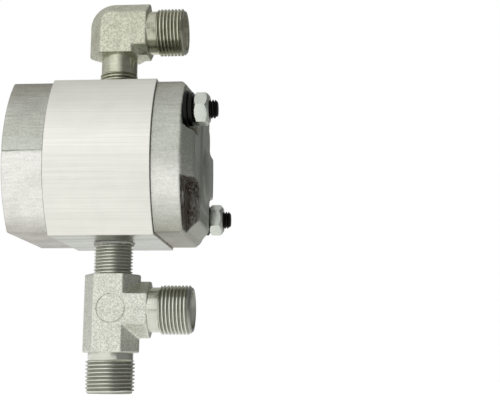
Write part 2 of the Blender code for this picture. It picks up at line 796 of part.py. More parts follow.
def clamp_stud(side):
    """Long stud, screwed into the front cover, that clamps the covers to the housing."""
    y, z = CLAMP_PLACES[side]
    tip = nut_start() + NUT_HEIGHT + STUD_TIP
    core = BOLT_RADIUS - STUD_CHAMFER
    name = f"clamp_stud_{side}"
    return as_part(turned(
        name,
        [(0, tip), (core, tip), (BOLT_RADIUS, tip - STUD_CHAMFER),
         (BOLT_RADIUS, STUD_START + STUD_CHAMFER), (core, STUD_START), (0, STUD_START)],
        (0, y, z), steps=STEPS_SMALL,
    ), name, ((0.03, 0.03, 0.03), 0.45, 0.8))


def clamp_washer(side):
    y, z = CLAMP_PLACES[side]
    near = SEAT_X + FACE_GAP
    far = near + WASHER_THICKNESS
    inner = BOLT_RADIUS + WASHER_HOLE_CLEARANCE
    name = f"clamp_washer_{side}"
    return as_part(turned(
        name, [(WASHER_RADIUS, far), (WASHER_RADIUS, near), (inner, near), (inner, far)],
        (0, y, z), steps=STEPS_SMALL,
    ), name, ((0.04, 0.04, 0.04), 0.5, 0.8))


def spring_washer(side):
    """Split spring washer, pressed flat, with its slanted slot."""
    y, z = CLAMP_PLACES[side]
    near = SEAT_X + 2 * FACE_GAP + WASHER_THICKNESS
    far = near + SPRING_THICKNESS
    inner = BOLT_RADIUS + WASHER_HOLE_CLEARANCE
    name = f"spring_washer_{side}"
    washer = as_part(turned(
        name, [(SPRING_RADIUS, far), (SPRING_RADIUS, near), (inner, near), (inner, far)],
        (0, y, z), steps=STEPS_SMALL,
    ), name, ((0.04, 0.04, 0.04), 0.5, 0.8))
    size = (4 * SPRING_THICKNESS, SPRING_RADIUS, SPRING_SLOT)
    middle_y = y + (inner + SPRING_RADIUS) / 2
    cut(washer, block(
        f"{name} slot", size, ((near + far) / 2, middle_y, z), (0, SPRING_SLOT_ANGLE, 0)
    ))
    return washer


def clamp_nut(side, turn):
    """Chamfered hexagon nut; its turn is the angle of one corner in the section."""
    y, z = CLAMP_PLACES[side]
    start = nut_start()
    end = start + NUT_HEIGHT
    name = f"clamp_nut_{side}"
    radius = NUT_ACROSS / math.sqrt(3)
    corners = [
        (radius * math.cos(turn + math.tau * i / 6), radius * math.sin(turn + math.tau * i / 6))
        for i in range(6)
    ]
    nut = as_part(prism(name, corners, start, end, (0, y, z)), name, ((0.72, 0.72, 0.68), 0.3, 1.0))
    keep_inside(nut, turned(
        f"{name} chamfer",
        [(0, end), (NUT_FACE_RADIUS, end), (radius + ROUND_FIT, end - NUT_CHAMFER),
         (radius + ROUND_FIT, start + NUT_CHAMFER), (NUT_FACE_RADIUS, start), (0, start)],
        (0, y, z), steps=STEPS_MEDIUM,
    ))
    bore = BOLT_RADIUS + ROUND_FIT
    cut(nut, rod(f"{name} bore", bore, start - CUT_OVER, end + CUT_OVER, (0, y, z)))
    return nut


def dowel(name, joint_x, z):
    """Hardened locating pin across one joint."""
    start = joint_x - DOWEL_HALF_LENGTH
    end = joint_x + DOWEL_HALF_LENGTH
    tip = DOWEL_RADIUS - DOWEL_CHAMFER
    return as_part(turned(
        name,
        [(0, end), (tip, end), (DOWEL_RADIUS, end - DOWEL_CHAMFER),
         (DOWEL_RADIUS, start + DOWEL_CHAMFER), (tip, start), (0, start)],
        (0, MID_Y, z), steps=STEPS_PIN,
    ), name, ((0.50, 0.50, 0.50), 0.3, 1.0))


def union_end(body_end, tip, thread):
    """Profile of a male union end: neck, thread and chamfer, from the body outwards."""
    root = body_end - CUT_OVER
    rise = UNION_RADIUS - UNION_NECK_RADIUS
    return [
        (0, tip), (UNION_RADIUS - UNION_CHAMFER, tip), (UNION_RADIUS, tip - UNION_CHAMFER),
        (UNION_RADIUS, tip - thread), (UNION_NECK_RADIUS, tip - thread - rise),
        (UNION_NECK_RADIUS, root), (0, root),
    ]


def union_bore(tip, depth):
    """Profile of a union end's bore: sealing cone, tube seat and through bore."""
    mouth = tip + CUT_OVER
    slope = (CONE_MOUTH_RADIUS - CONE_SEAT_RADIUS) / CONE_LENGTH
    return [
        (0, mouth), (CONE_MOUTH_RADIUS + slope * CUT_OVER, mouth),
        (CONE_SEAT_RADIUS, tip - CONE_LENGTH), (UNION_BORE, tip - CONE_LENGTH),
        (UNION_BORE, depth), (0, depth),
    ]


def flipped(profile):
    """The same profile pointing the other way along its axis."""
    return [(radius, -at) for radius, at in reversed(profile)]


def elbow_body(centre):
    """Forged elbow without its ends: two bars, and a dished disc that rounds the corner."""
    section = forged_section(ELBOW_HALF_WIDTH, ELBOW_FLAT, ELBOW_DEPTH, ELBOW_LAND)
    middle = ELBOW_HALF_WIDTH - ELBOW_CORNER
    below = -ELBOW_HALF_WIDTH - CUT_OVER
    leg = prism("elbow_fitting", section, below, middle, centre, "z")
    as_part(leg, "elbow_fitting", ((0.62, 0.62, 0.54), 0.4, 0.9))
    join(leg, prism(
        "elbow arm bar", swapped(section), -middle, ELBOW_ARM_BODY + CUT_OVER, centre, "x"
    ))
    rim = ELBOW_CORNER - ELBOW_HALF_WIDTH + ELBOW_FLAT
    disc = [
        (0, ELBOW_DEPTH), (rim, ELBOW_DEPTH), (ELBOW_CORNER, ELBOW_LAND),
        (ELBOW_CORNER, -ELBOW_LAND), (rim, -ELBOW_DEPTH), (0, -ELBOW_DEPTH),
    ]
    corner = (centre[0] - middle, centre[1], centre[2] + middle)
    join(leg, turned("elbow corner", disc, corner, "y", STEPS_LARGE))
    width = ELBOW_ARM_BODY + ELBOW_HALF_WIDTH + CUT_OVER
    height = ELBOW_LEG + ELBOW_HALF_WIDTH + CUT_OVER
    keep_inside(leg, block(
        "elbow trim", (width, 4 * ELBOW_DEPTH, height),
        (centre[0] + ELBOW_ARM_BODY - width / 2, centre[1], centre[2] - ELBOW_LEG + height / 2),
    ))
    return leg


def elbow_fitting():
    """Forged elbow: pipe thread down into the port, union end towards +X."""
    centre = (PORT_X, MID_Y, ELBOW_Z)
    leg = elbow_body(centre)
    tip = UPPER_PORT_Z - ELBOW_Z - PIPE_ENGAGEMENT
    neck_end = -ELBOW_LEG - ELBOW_NECK_LENGTH
    join(leg, turned(
        "elbow pipe end",
        [(0, 0), (ELBOW_NECK_RADIUS, 0), (ELBOW_NECK_RADIUS, neck_end),
         (PIPE_RADIUS, neck_end - PIPE_CHAMFER), (PIPE_RADIUS, tip + PIPE_CHAMFER),
         (PIPE_RADIUS - PIPE_CHAMFER, tip), (0, tip)],
        centre, "z", STEPS_MEDIUM,
    ))
    profile = union_end(ELBOW_ARM_BODY, ELBOW_ARM, ELBOW_ARM_THREAD)
    join(leg, turned("elbow union end", profile, centre, "x", STEPS_MEDIUM))
    cut(leg, rod("elbow pipe bore", PIPE_BORE, tip - CUT_OVER, 0, centre, "z", STEPS_SMALL))
    bore = union_bore(ELBOW_ARM, -UNION_BORE)
    cut(leg, turned("elbow union bore", bore, centre, "x", STEPS_SMALL))
    return leg


def tee_fitting():
    """Forged tee: pipe thread up into the port, union ends down and towards +X."""
    centre = (PORT_X, MID_Y, TEE_Z)
    section = forged_section(TEE_HALF_WIDTH, TEE_FLAT, TEE_DEPTH, TEE_LAND)
    run = prism("tee_fitting", section, -TEE_DOWN_BODY, TEE_UP, centre, "z")
    as_part(run, "tee_fitting", ((0.70, 0.70, 0.66), 0.4, 0.9))
    join(run, prism("tee arm bar", swapped(section), 0, TEE_ARM_BODY, centre, "x"))
    tip = LOWER_PORT_Z - TEE_Z + PIPE_ENGAGEMENT
    join(run, turned(
        "tee pipe end",
        [(0, tip), (PIPE_RADIUS - PIPE_CHAMFER, tip), (PIPE_RADIUS, tip - PIPE_CHAMFER),
         (PIPE_RADIUS, 0), (0, 0)],
        centre, "z", STEPS_MEDIUM,
    ))
    lower = flipped(union_end(TEE_DOWN_BODY, TEE_DOWN, TEE_DOWN_THREAD))
    join(run, turned("tee lower end", lower, centre, "z", STEPS_MEDIUM))
    side = union_end(TEE_ARM_BODY, TEE_ARM, TEE_ARM_THREAD)
    join(run, turned("tee arm end", side, centre, "x", STEPS_MEDIUM))
    cut(run, rod("tee pipe bore", PIPE_BORE, -PIPE_BORE, tip + CUT_OVER, centre, "z", STEPS_SMALL))
    lower_bore = flipped(union_bore(TEE_DOWN, -PIPE_BORE))
    cut(run, turned("tee lower bore", lower_bore, centre, "z", STEPS_SMALL))
    cut(run, turned("tee arm bore", union_bore(TEE_ARM, 0), centre, "x", STEPS_SMALL))
    return run


def weld_cuts(item):
    """Merge the doubled points that joins and cuts leave behind."""
    weld = item.modifiers.new("weld", "WELD")
    weld.merge_threshold = WELD


def axis_empty(name, y, children):
    """An empty on a shaft's axis that carries the pieces turning with it."""
    empty = bpy.data.objects.new(name, None)
    empty.location = (0, y, 0)
    PARTS.objects.link(empty)
    for child in children:
        child.parent = empty
        child.location.y -= y
    return empty


def main():
    global PARTS, CUTTERS
    clear_scene()
    PARTS = new_collection("oil pump")
    CUTTERS = new_collection("cutters")
    front_cover()
    gear_housing()
    rear_cover()
    drive = drive_gear()
    driven = driven_gear()
    blocks = (
        ("front", FRONT_BLOCK_START, FRONT_BLOCK_START, 1),
        ("rear", REAR_BLOCK_END - BLOCK_LENGTH, REAR_BLOCK_END, -1),
    )
    for end, start, back_x, inward in blocks:
        bushing_block(f"{end}_bushing_block", start, back_x)
        balance_seal(f"{end}_balance_seal", back_x, inward)
        for side, y in (("drive", 0.0), ("driven", DRIVEN_Y)):
            bearing_bush(f"{end}_{side}_bush", y, start)
    shaft_seal()
    seal_retaining_ring()
    pilot_o_ring()
    groove_room = RING_GROOVE_DEPTH - RING_SECTION - ROUND_FIT
    body_seal("front_body_seal", FRONT_COVER_LENGTH - groove_room)
    body_seal("rear_body_seal", REAR_START + groove_room)
    for side, turn in (("near", 0.0), ("far", math.pi / 6)):
        clamp_stud(side)
        clamp_washer(side)
        spring_washer(side)
        clamp_nut(side, turn)
    for end, joint_x in (
        ("front", FRONT_COVER_LENGTH + FACE_GAP / 2), ("rear", HOUSING_END + FACE_GAP / 2)
    ):
        dowel(f"{end}_dowel_upper", joint_x, DOWEL_HEIGHT)
        dowel(f"{end}_dowel_lower", joint_x, -DOWEL_HEIGHT)
    elbow_fitting()
    tee_fitting()
    for item in PARTS.objects:
        if any(step.type == "BOOLEAN" for step in item.modifiers):
            weld_cuts(item)
    axis_empty("drive_axis", 0.0, [drive])
    axis_empty("driven_axis", DRIVEN_Y, [driven])


main()
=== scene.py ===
"""Looks of an external gear oil pump, built round its packed CAD model.

The frame is in metres with +Z up. The drive shaft lies along X, and the mounting face is at
X = 0 with the pump behind it, towards +X. The file is laid out as a Blender add-on.
"""
import json
import math
import random

import bmesh
import bpy
from bpy.props import FloatProperty, FloatVectorProperty, PointerProperty
from mathutils import Matrix, Vector


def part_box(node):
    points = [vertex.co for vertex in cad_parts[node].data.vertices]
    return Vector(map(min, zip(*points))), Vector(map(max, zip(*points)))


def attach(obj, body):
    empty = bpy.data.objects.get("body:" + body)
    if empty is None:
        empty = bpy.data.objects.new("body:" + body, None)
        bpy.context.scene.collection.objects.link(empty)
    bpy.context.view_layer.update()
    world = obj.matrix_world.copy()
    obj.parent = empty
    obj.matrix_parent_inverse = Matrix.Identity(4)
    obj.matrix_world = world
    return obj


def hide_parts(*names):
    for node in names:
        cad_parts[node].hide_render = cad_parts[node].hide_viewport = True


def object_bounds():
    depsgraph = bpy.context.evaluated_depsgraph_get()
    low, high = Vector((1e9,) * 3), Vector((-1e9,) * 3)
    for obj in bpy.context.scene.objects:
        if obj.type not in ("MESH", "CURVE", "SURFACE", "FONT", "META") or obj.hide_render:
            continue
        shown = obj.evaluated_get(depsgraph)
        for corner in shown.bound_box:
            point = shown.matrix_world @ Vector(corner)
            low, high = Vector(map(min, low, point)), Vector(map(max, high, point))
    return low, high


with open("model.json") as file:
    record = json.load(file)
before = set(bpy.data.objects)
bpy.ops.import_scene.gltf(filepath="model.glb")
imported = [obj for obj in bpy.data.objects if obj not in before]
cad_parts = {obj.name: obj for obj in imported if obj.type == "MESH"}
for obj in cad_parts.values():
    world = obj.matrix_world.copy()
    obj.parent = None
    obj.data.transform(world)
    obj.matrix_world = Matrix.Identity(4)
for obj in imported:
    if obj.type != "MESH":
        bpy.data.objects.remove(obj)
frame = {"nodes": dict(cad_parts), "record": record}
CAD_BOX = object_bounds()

bl_info = {
    "name": "Oil pump",
    "version": (1, 0, 0),
    "blender": (4, 5, 0),
    "location": "3D View > Sidebar > Oil pump",
    "description": "Builds the pieces, finishes and studio of a gear oil pump",
    "category": "Object",
}

# Places that the CAD gives.
HOUSING_LOW, HOUSING_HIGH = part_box("gear_housing")
FRONT_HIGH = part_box("front_cover")[1]
REAR_LOW, REAR_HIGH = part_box("rear_cover")
ELBOW_LOW, ELBOW_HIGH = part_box("elbow_fitting")
TEE_LOW, TEE_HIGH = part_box("tee_fitting")
RING_LOW, RING_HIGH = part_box("seal_retaining_ring")
SEAL_LOW, SEAL_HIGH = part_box("shaft_seal")
O_RING_LOW, O_RING_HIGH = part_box("pilot_o_ring")
MID_Y = (HOUSING_LOW.y + HOUSING_HIGH.y) / 2
DRIVEN_Y = 2 * MID_Y
HALF_DEPTH = HOUSING_HIGH.y - MID_Y
HALF_HEIGHT = HOUSING_HIGH.z
TEE_HALF_WIDTH = 0.0155
PORT_X = TEE_LOW.x + TEE_HALF_WIDTH
DOWEL_Z = sum(corner.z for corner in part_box("front_dowel_upper")) / 2
STUDS = {}
for side in ("near", "far"):
    low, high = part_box(f"clamp_stud_{side}")
    STUDS[side] = ((low.y + high.y) / 2, (low.z + high.z) / 2)
OPEN_HOLES = {side: (y, -z) for side, (y, z) in STUDS.items()}

# Points closer than this are merged, and cutters reach this far past what they cut.
MERGE = 0.000004
OVER = 0.002

# Holes and seats in the covers and the housing.
CHAMBER_RADIUS = 0.0202
BOLT_HOLE = 0.00525
STUD_HOLE, STUD_HOLE_START = 0.00515, 0.0042
DOWEL_HOLE, DOWEL_DEPTH = 0.00315, 0.0048
GROOVE_OUTER, GROOVE_INNER, GROOVE_DEPTH = 0.0229, 0.0207, 0.0019
PORT_FIT, PORT_CHAMFER, PORT_DEPTH, PASSAGE = 0.0003, 0.001, 0.014, 0.007
PILOT_RADIUS, PILOT_LENGTH, PILOT_CHAMFER = 0.0250, 0.006, 0.0008
PILOT_GROOVE, PILOT_GROOVE_START, PILOT_GROOVE_END = 0.0231, -0.00205, -0.00395
SHAFT_HOLE, SEAL_SEAT, SEAL_SEAT_END, CLIP_SEAT = 0.0093, 0.01615, 0.0063, 0.01735
# Corners between the covers' flats and sides.
COVER_CORNER = 0.0012

# How far a pipe thread reaches past its port's face, and its radius at the tip.
PIPE_REACH, PIPE_TIP = 0.0119, 0.0095
# Bore of every washer, and the outside radius of a spring washer.
WASHER_BORE, SPRING_RADIUS = 0.0054, 0.00905

# Rows of a 60 degree screw thread over one pitch: (part of the pitch, part of the depth).
# The crest is worn flat over a third of the pitch and the root is round.
THREAD_FORM = ((0.0, 1.0), (0.16, 0.98), (0.39, 0.07), (0.5, 0.0), (0.61, 0.07), (0.84, 0.98))
THREAD_DEPTH = 0.6134

NOISE, LIGHT_PATH = "ShaderNodeTexNoise", "ShaderNodeLightPath"
COORDS, SPLIT, JOIN = "ShaderNodeTexCoord", "ShaderNodeSeparateXYZ", "ShaderNodeCombineXYZ"
VECTOR, MATH, RANGE = "ShaderNodeVectorMath", "ShaderNodeMath", "ShaderNodeMapRange"
MIX, BUMP = "ShaderNodeMix", "ShaderNodeBump"


def linear(code):
    """The linear colour of an sRGB hex value."""
    channels = (int(code[i:i + 2], 16) / 255 for i in (1, 3, 5))
    return tuple(
        c / 12.92 if c <= 0.04045 else ((c + 0.055) / 1.055) ** 2.4 for c in channels
    )


def length(name, text, default):
    """A length in metres that a user may change."""
    return FloatProperty(
        name=name, description=text, default=default, min=0.0, precision=5, unit="LENGTH"
    )


def colour(name, text, code):
    """A colour that a user may change, given as an sRGB hex value."""
    return FloatVectorProperty(
        name=name, description=text, default=linear(code), size=3, min=0.0, max=1.0,
        subtype="COLOR",
    )


def share(name, text, default, top=1.0):
    """A plain number that a user may change."""
    return FloatProperty(name=name, description=text, default=default, min=0.0, max=top)


class PumpBodySizes(bpy.types.PropertyGroup):
    """Sizes of the housing and its two cast covers."""

    arc_rise: length("Arc rise", "How far the round sides stand out past the port flats", 0.0167)
    corner: length("Corner radius", "Rounding where a port flat meets a side", 0.0005)
    cover_inset: length("Cover inset", "How far the covers lie inside the housing", 0.00145)
    front_rim: length("Front rim", "Rounding of the front cover's outer edge", 0.0010)
    slot_height: length("Parting slot", "Height of the parting slot at the front edge", 0.0016)
    seat: length("Nut seats", "Where the nuts and screws sit, from the mounting face", 0.0953)
    shoulder: length("Shoulder", "Width and depth of the rear cover's slope", 0.0065)
    flat_slope: length("Flat slope", "How much more the slope takes off above and below", 0.0021)
    boss_radius: length("Boss radius", "Radius of the low dome on the rear face", 0.0150)
    boss_height: length("Boss height", "How far that dome stands out from the pad", 0.0026)
    boss_drop: length("Boss drop", "How far its middle lies below the shafts", 0.0050)
    pad_width: length("Pad half width", "Half the rear pad's width", 0.0165)
    pad_height: length("Pad half height", "Half the rear pad's height", 0.0250)
    nut_pocket: length("Nut pocket", "Radius of the pockets round the nuts", 0.0136)
    pocket_depth: length("Screw pocket depth", "From a screw's axis to the pocket's wall", 0.0170)
    pocket_height: length("Screw pocket height", "From a screw's axis to the upper wall", 0.0106)
    pocket_corner: length("Screw pocket corner", "Rounding of a pocket's inner corner", 0.0084)
    grain: length("Casting grain", "Grid on which the rear casting is rounded", 0.00062)


class PumpFittingSizes(bpy.types.PropertyGroup):
    """Sizes of the elbow and the tee."""

    union_radius: length("Union thread radius", "Outside radius of the union threads", 0.0135)
    union_pitch: length("Union pitch", "Pitch of the union threads", 0.0020)
    union_neck: length("Union neck", "Radius of the neck behind a union thread", 0.0124)
    union_tip: length("Union tip", "Radius where a union thread's chamfer ends", 0.0119)
    cone_mouth: length("Cone mouth", "Radius of the sealing cone at the tip", 0.0102)
    cone_seat: length("Cone seat", "Radius of the sealing cone at its bottom", 0.0090)
    cone_length: length("Cone length", "Depth of the sealing cone", 0.0075)
    union_bore: length("Union bore", "Radius of the bore behind the cone", 0.0072)
    pipe_radius: length("Pipe thread radius", "Outside radius of the pipe threads", 0.01075)
    pipe_pitch: length("Pipe pitch", "Pitch of the pipe threads", 0.001814)
    pipe_bore: length("Pipe bore", "Radius of the bore through a pipe thread", 0.0062)
    elbow_centre: length("Elbow height", "From the port face to the elbow's centre", 0.0373)
    elbow_half: length("Elbow half width", "Half the elbow's width at its middle", 0.0173)
    elbow_flat: length("Elbow flat", "Half the width of the elbow's flats", 0.0091)
    elbow_depth: length("Elbow depth", "From the elbow's middle to its flats", 0.0125)
    elbow_land: length("Elbow land", "Half the width of the land at the middle", 0.0015)
    elbow_corner: length("Elbow corner", "Rounding of the elbow's outer corner", 0.0140)
    elbow_leg: length("Elbow leg", "From the centre to the leg's flat end", 0.0149)
    elbow_neck: length("Elbow neck", "Radius of the neck above the pipe thread", 0.0102)
    elbow_neck_length: length("Elbow neck length", "Length of that neck", 0.0107)
    elbow_arm: length("Elbow arm", "From the centre to the arm's flat end", 0.0174)
    elbow_under: length("Elbow underside", "How much further the arm reaches down", 0.0010)
    elbow_thread: length("Elbow thread", "Length of the elbow's union thread", 0.0159)
    tee_centre: length("Tee height", "From the port face to the tee's centre", 0.0371)
    tee_half: length("Tee half width", "Half the tee's width at its middle", TEE_HALF_WIDTH)
    tee_flat: length("Tee flat", "Half the width of the tee's flats", 0.00815)
    tee_depth: length("Tee depth", "From the tee's middle to its flats", 0.0123)
    tee_land: length("Tee land", "Half the width of the land at the middle", 0.0020)
    tee_up: length("Tee top", "From the centre to the upper end of the bar", 0.0193)
    tee_down: length("Tee bottom", "From the centre to the lower end of the bar", 0.02355)
    tee_arm: length("Tee arm", "From the centre to the arm's flat end", 0.0217)
    tee_lower_thread: length("Lower thread", "Length of the lower union thread", 0.0179)
    tee_arm_thread: length("Arm thread", "Length of the arm's union thread", 0.0176)
    mark_radius: length("Ring mark", "Radius of the ring pressed into the tee's flat", 0.0078)
    mark_width: length("Ring mark width", "Width of that ring's groove", 0.0012)
    grain: length("Forging grain", "Grid on which the forgings are rounded", 0.00045)


class PumpFastenerSizes(bpy.types.PropertyGroup):
    """Sizes of the clamp studs, nuts and washers."""

    stud_radius: length("Stud radius", "Outside radius of the clamp studs", 0.0050)
    stud_pitch: length("Stud pitch", "Pitch of the studs' thread", 0.0015)
    nut_across: length("Nut across flats", "Width of the nuts across their flats", 0.0160)
    nut_chamfer: length("Nut chamfer", "Depth of the chamfer on a nut's corners", 0.0019)
    nut_face: length("Nut face", "Radius of a nut's round end face", 0.0070)
    slot: length("Spring washer slot", "Width of the slot in a spring washer", 0.0012)


class PumpColours(bpy.types.PropertyGroup):
    """Colours of the pump's finishes."""

    housing: colour("Housing", "Extruded aluminium of the housing", "#F5F4EC")
    port_face: colour("Port faces", "Milled aluminium round the ports", "#BEC1B7")
    casting: colour("Castings", "Blasted aluminium of the covers", "#CED1C7")
    # Painted light: near-white paint on the front cover's lower half and along a strip of the rear
    # cover's side.
    casting_painted_light: colour("Pale casting", "Lower half of the front cover", "#F5F5EF")
    # Painted shade on the covers' faces that look up or down and near their lowest part, and also
    # the colour of real oil patches.
    casting_shade_oil: colour("Oiled castings", "Covers where oil has dulled them", "#8C8478")
    # Painted shade: this colour darkens faces that look back past the nut seats, and it is also
    # the colour of bright scrapes in the screw pockets.
    shoulder: colour("Rear face", "Dull skin of the rear cover's slope and face", "#C0C4B9")
    rust: colour("Rust dirt", "Rust-brown dirt in the screw pockets", "#6A5140")
    soot: colour("Oil dirt", "Old oil in corners and grooves", "#28251F")
    forging: colour("Fittings", "Zinc plated steel of the tee", "#E3E5DA")
    forging_dull: colour("Elbow", "Tarnished zinc plate of the elbow", "#D6D8C4")
    tarnish: colour("Tarnish", "Olive tarnish on the fittings", "#8A8468")
    brown: colour("Brown stain", "Brown stain on the fittings", "#6B5A3C")
    nut: colour("Nuts", "Bright zinc of the nuts", "#DEE3DA")
    black: colour("Black steel", "Black oxide of studs and washers", "#222221")
    rubber: colour("Rubber", "Nitrile rubber of the seals", "#191918")
    steel: colour("Gear steel", "Ground steel of the gears and shafts", "#A9A9A8")
    bronze: colour("Bronze", "Bearing bronze of the bushes", "#9A7546")
    block: colour("Bearing blocks", "Turned aluminium of the bearing blocks", "#C3C4C2")
    sealant: colour("Thread sealant", "White sealant squeezed out at the tee", "#F1F0EA")
    floor: colour("Floor", "Pale floor of the studio", "#F2F2F0")


class PumpStudioSettings(bpy.types.PropertyGroup):
    """Camera, lamps and floor."""

    camera: FloatVectorProperty(
        name="Camera", description="Where the camera stands", size=3, subtype="TRANSLATION",
        unit="LENGTH", default=(0.17395, -0.56351, -0.11706),
    )
    target: FloatVectorProperty(
        name="Target", description="What the middle of the picture looks at", size=3,
        subtype="TRANSLATION", unit="LENGTH", default=(0.12749, -0.0175, -0.01860),
    )
    roll: FloatProperty(
        name="Roll", description="Turn of the camera about its view", subtype="ANGLE",
        default=math.radians(0.45),
    )
    lens: FloatProperty(
        name="Lens", description="Focal length on a 36 mm sensor", default=71.9, min=1.0,
        unit="CAMERA",
    )
    floor_drop: length("Floor drop", "From the pump's lowest point down to the floor", 0.040)
    key: share("Key lamp", "Strength of the large lamp at the front left", 0.6, 1000.0)
    fill: share("Fill lamp", "Strength of the lamp above", 0.7, 1000.0)
    glow: share("Floor glow", "What the floor adds round the pump for the camera", 0.675, 10.0)
    far_glow: share("Far glow", "What it adds away from the pump for the camera", 0.8, 10.0)
    mirrored: share("Mirrored glow", "What the floor adds where metal mirrors it", 0.675, 10.0)
    world: share("Ambient light", "Strength of the light from all round", 0.62, 10.0)


def lay(along, origin, radius, turn, at):
    """A point round an axis that runs along X, Y or Z through the origin given."""
    u, v = radius * math.cos(turn), radius * math.sin(turn)
    x, y, z = {"x": (at, u, v), "y": (v, at, u), "z": (u, v, at)}[along]
    return (origin[0] + x, origin[1] + y, origin[2] + z)


def mesh_object(name, shape):
    """An object that holds what a bmesh has made."""
    bmesh.ops.recalc_face_normals(shape, faces=shape.faces)
    mesh = bpy.data.meshes.new(name)
    shape.to_mesh(mesh)
    shape.free()
    item = bpy.data.objects.new(name, mesh)
    bpy.context.scene.collection.objects.link(item)
    return item


def skin(name, rows, capped=True):
    """A mesh skinned over rows of points. Each row closes on itself, its last point lying on
    its first, and points that meet are merged."""
    shape = bmesh.new()
    grid = [[shape.verts.new(point) for point in row] for row in rows]
    for low, high in zip(grid, grid[1:]):
        for corners in zip(low, low[1:], high[1:], high):
            shape.faces.new(corners)
    if capped:
        shape.faces.new(reversed(grid[0][:-1]))
        shape.faces.new(grid[-1][:-1])
    bmesh.ops.remove_doubles(shape, verts=shape.verts, dist=MERGE)
    bmesh.ops.dissolve_degenerate(shape, edges=shape.edges, dist=MERGE / 4)
    return mesh_object(name, shape)


def turned(name, profile, origin, along="x", steps=96, ring=False):
    """A turned solid. Each entry is (radius, place along the axis), or a whole row of them,
    from the axis at one end round to the axis at the other, or round to the start."""
    rows = []
    for entry in profile + (profile[:1] if ring else []):
        row = entry if isinstance(entry, list) else [entry] * (steps + 1)
        rows.append([
            lay(along, origin, radius, math.tau * (i % steps) / steps, at)
            for i, (radius, at) in enumerate(row)
        ])
    return skin(name, rows, capped=False)


def thread(start, end, radius, pitch, start_radius, end_radius, steps=96):
    """Rows of a right-hand screw thread for a turned profile. The rows follow the helix, and
    at both ends the thread runs into the radius given there."""
    low, high = sorted((start, end))
    low_radius, high_radius = (
        (start_radius, end_radius) if start < end else (end_radius, start_radius)
    )
    root = radius - THREAD_DEPTH * pitch
    rows = []
    for turn in range(math.ceil((high - low) / pitch) + 2):
        for phase, height in THREAD_FORM:
            row = []
            for i in range(steps + 1):
                at = low + (turn + phase + i / steps - 1) * pitch
                at = min(max(at, low), high)
                crest = root + (radius - root) * height
                crest = max(crest, low_radius - 0.4 * (at - low), high_radius - 0.4 * (high - at))
                crest = min(crest, low_radius + (at - low), high_radius + (high - at))
                row.append((crest, at))
            rows.append(row)
    return rows if start < end else rows[::-1]


def extrude(name, outline, start, end, origin=(0, 0, 0), along="x"):
    """An outline drawn out between two places. It lies in (Y, Z) for X and in (X, Y) for Z."""
    rows = []
    for at in (start, end):
        row = []
        for u, v in outline + outline[:1]:
            x, y, z = {"x": (at, u, v), "z": (u, v, at)}[along]
            row.append((origin[0] + x, origin[1] + y, origin[2] + z))
        rows.append(row)
    return skin(name, rows)


def block(name, low, high):
    """A box between two corners, which cuts or trims other shapes."""
    outline = [(low[1], low[2]), (high[1], low[2]), (high[1], high[2]), (low[1], high[2])]
    return extrude(name, outline, low[0], high[0])


def settle(item):
    """Apply an object's modifiers to its mesh."""
    graph = bpy.context.evaluated_depsgraph_get()
    mesh = bpy.data.meshes.new_from_object(item.evaluated_get(graph))
    item.modifiers.clear()
    old = item.data
    item.data = mesh
    bpy.data.meshes.remove(old)
    return item


def combine(item, helpers, operation):
    """Cut, join or trim a closed mesh with others, which are used up."""
    for helper in helpers:
        step = item.modifiers.new("shape", "BOOLEAN")
        step.operation = operation
        step.solver = "MANIFOLD"
        step.object = helper
    settle(item)
    if not item.data.polygons:
        raise RuntimeError(f"{item.name} lost its mesh in {operation}")
    for helper in helpers:
        bpy.data.meshes.remove(helper.data)
    return item


def cut(item, *helpers):
    """Take helpers away from an item."""
    return combine(item, helpers, "DIFFERENCE")


def join(item, *helpers):
    """Add helpers to an item."""
    return combine(item, helpers, "UNION")


def trim(item, *helpers):
    """Keep what an item shares with its helpers."""
    return combine(item, helpers, "INTERSECT")


def soften(item, grain, passes, keep=1.0):
    """Round every edge of a rough solid, as casting and forging leave them."""
    remesh = item.modifiers.new("grain", "REMESH")
    remesh.mode = "VOXEL"
    remesh.voxel_size = grain
    smooth = item.modifiers.new("soften", "SMOOTH")
    smooth.factor = 0.5
    smooth.iterations = passes
    if keep < 1.0:
        fewer = item.modifiers.new("fewer", "DECIMATE")
        fewer.ratio = keep
    return settle(item)


def clean(item, sharp=35.0):
    """Merge doubled points, and shade smooth apart from edges sharper than an angle."""
    shape = bmesh.new()
    shape.from_mesh(item.data)
    bmesh.ops.remove_doubles(shape, verts=shape.verts, dist=MERGE)
    bmesh.ops.dissolve_degenerate(shape, edges=shape.edges, dist=MERGE / 2)
    bmesh.ops.recalc_face_normals(shape, faces=shape.faces)
    shape.to_mesh(item.data)
    shape.free()
    item.data.shade_smooth()
    item.data.set_sharp_from_angle(angle=math.radians(sharp))
    return item


def present(item, slot, nodes=(), finish=None, body="housing"):
    """Give a piece its finish, the body that it rides on and the nodes that it stands for."""
    item.data.materials.clear()
    item.data.materials.append(finish_of(finish or SLOT_FINISHES[slot]))
    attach(item, body)
    if nodes:
        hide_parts(*nodes)
    return item


def arc(centre, radius, start, end, steps):
    """Points on an arc, both ends included, with angles in radians."""
    step = (end - start) / steps
    return [
        (centre[0] + radius * math.cos(start + step * i),
         centre[1] + radius * math.sin(start + step * i))
        for i in range(steps + 1)
    ]


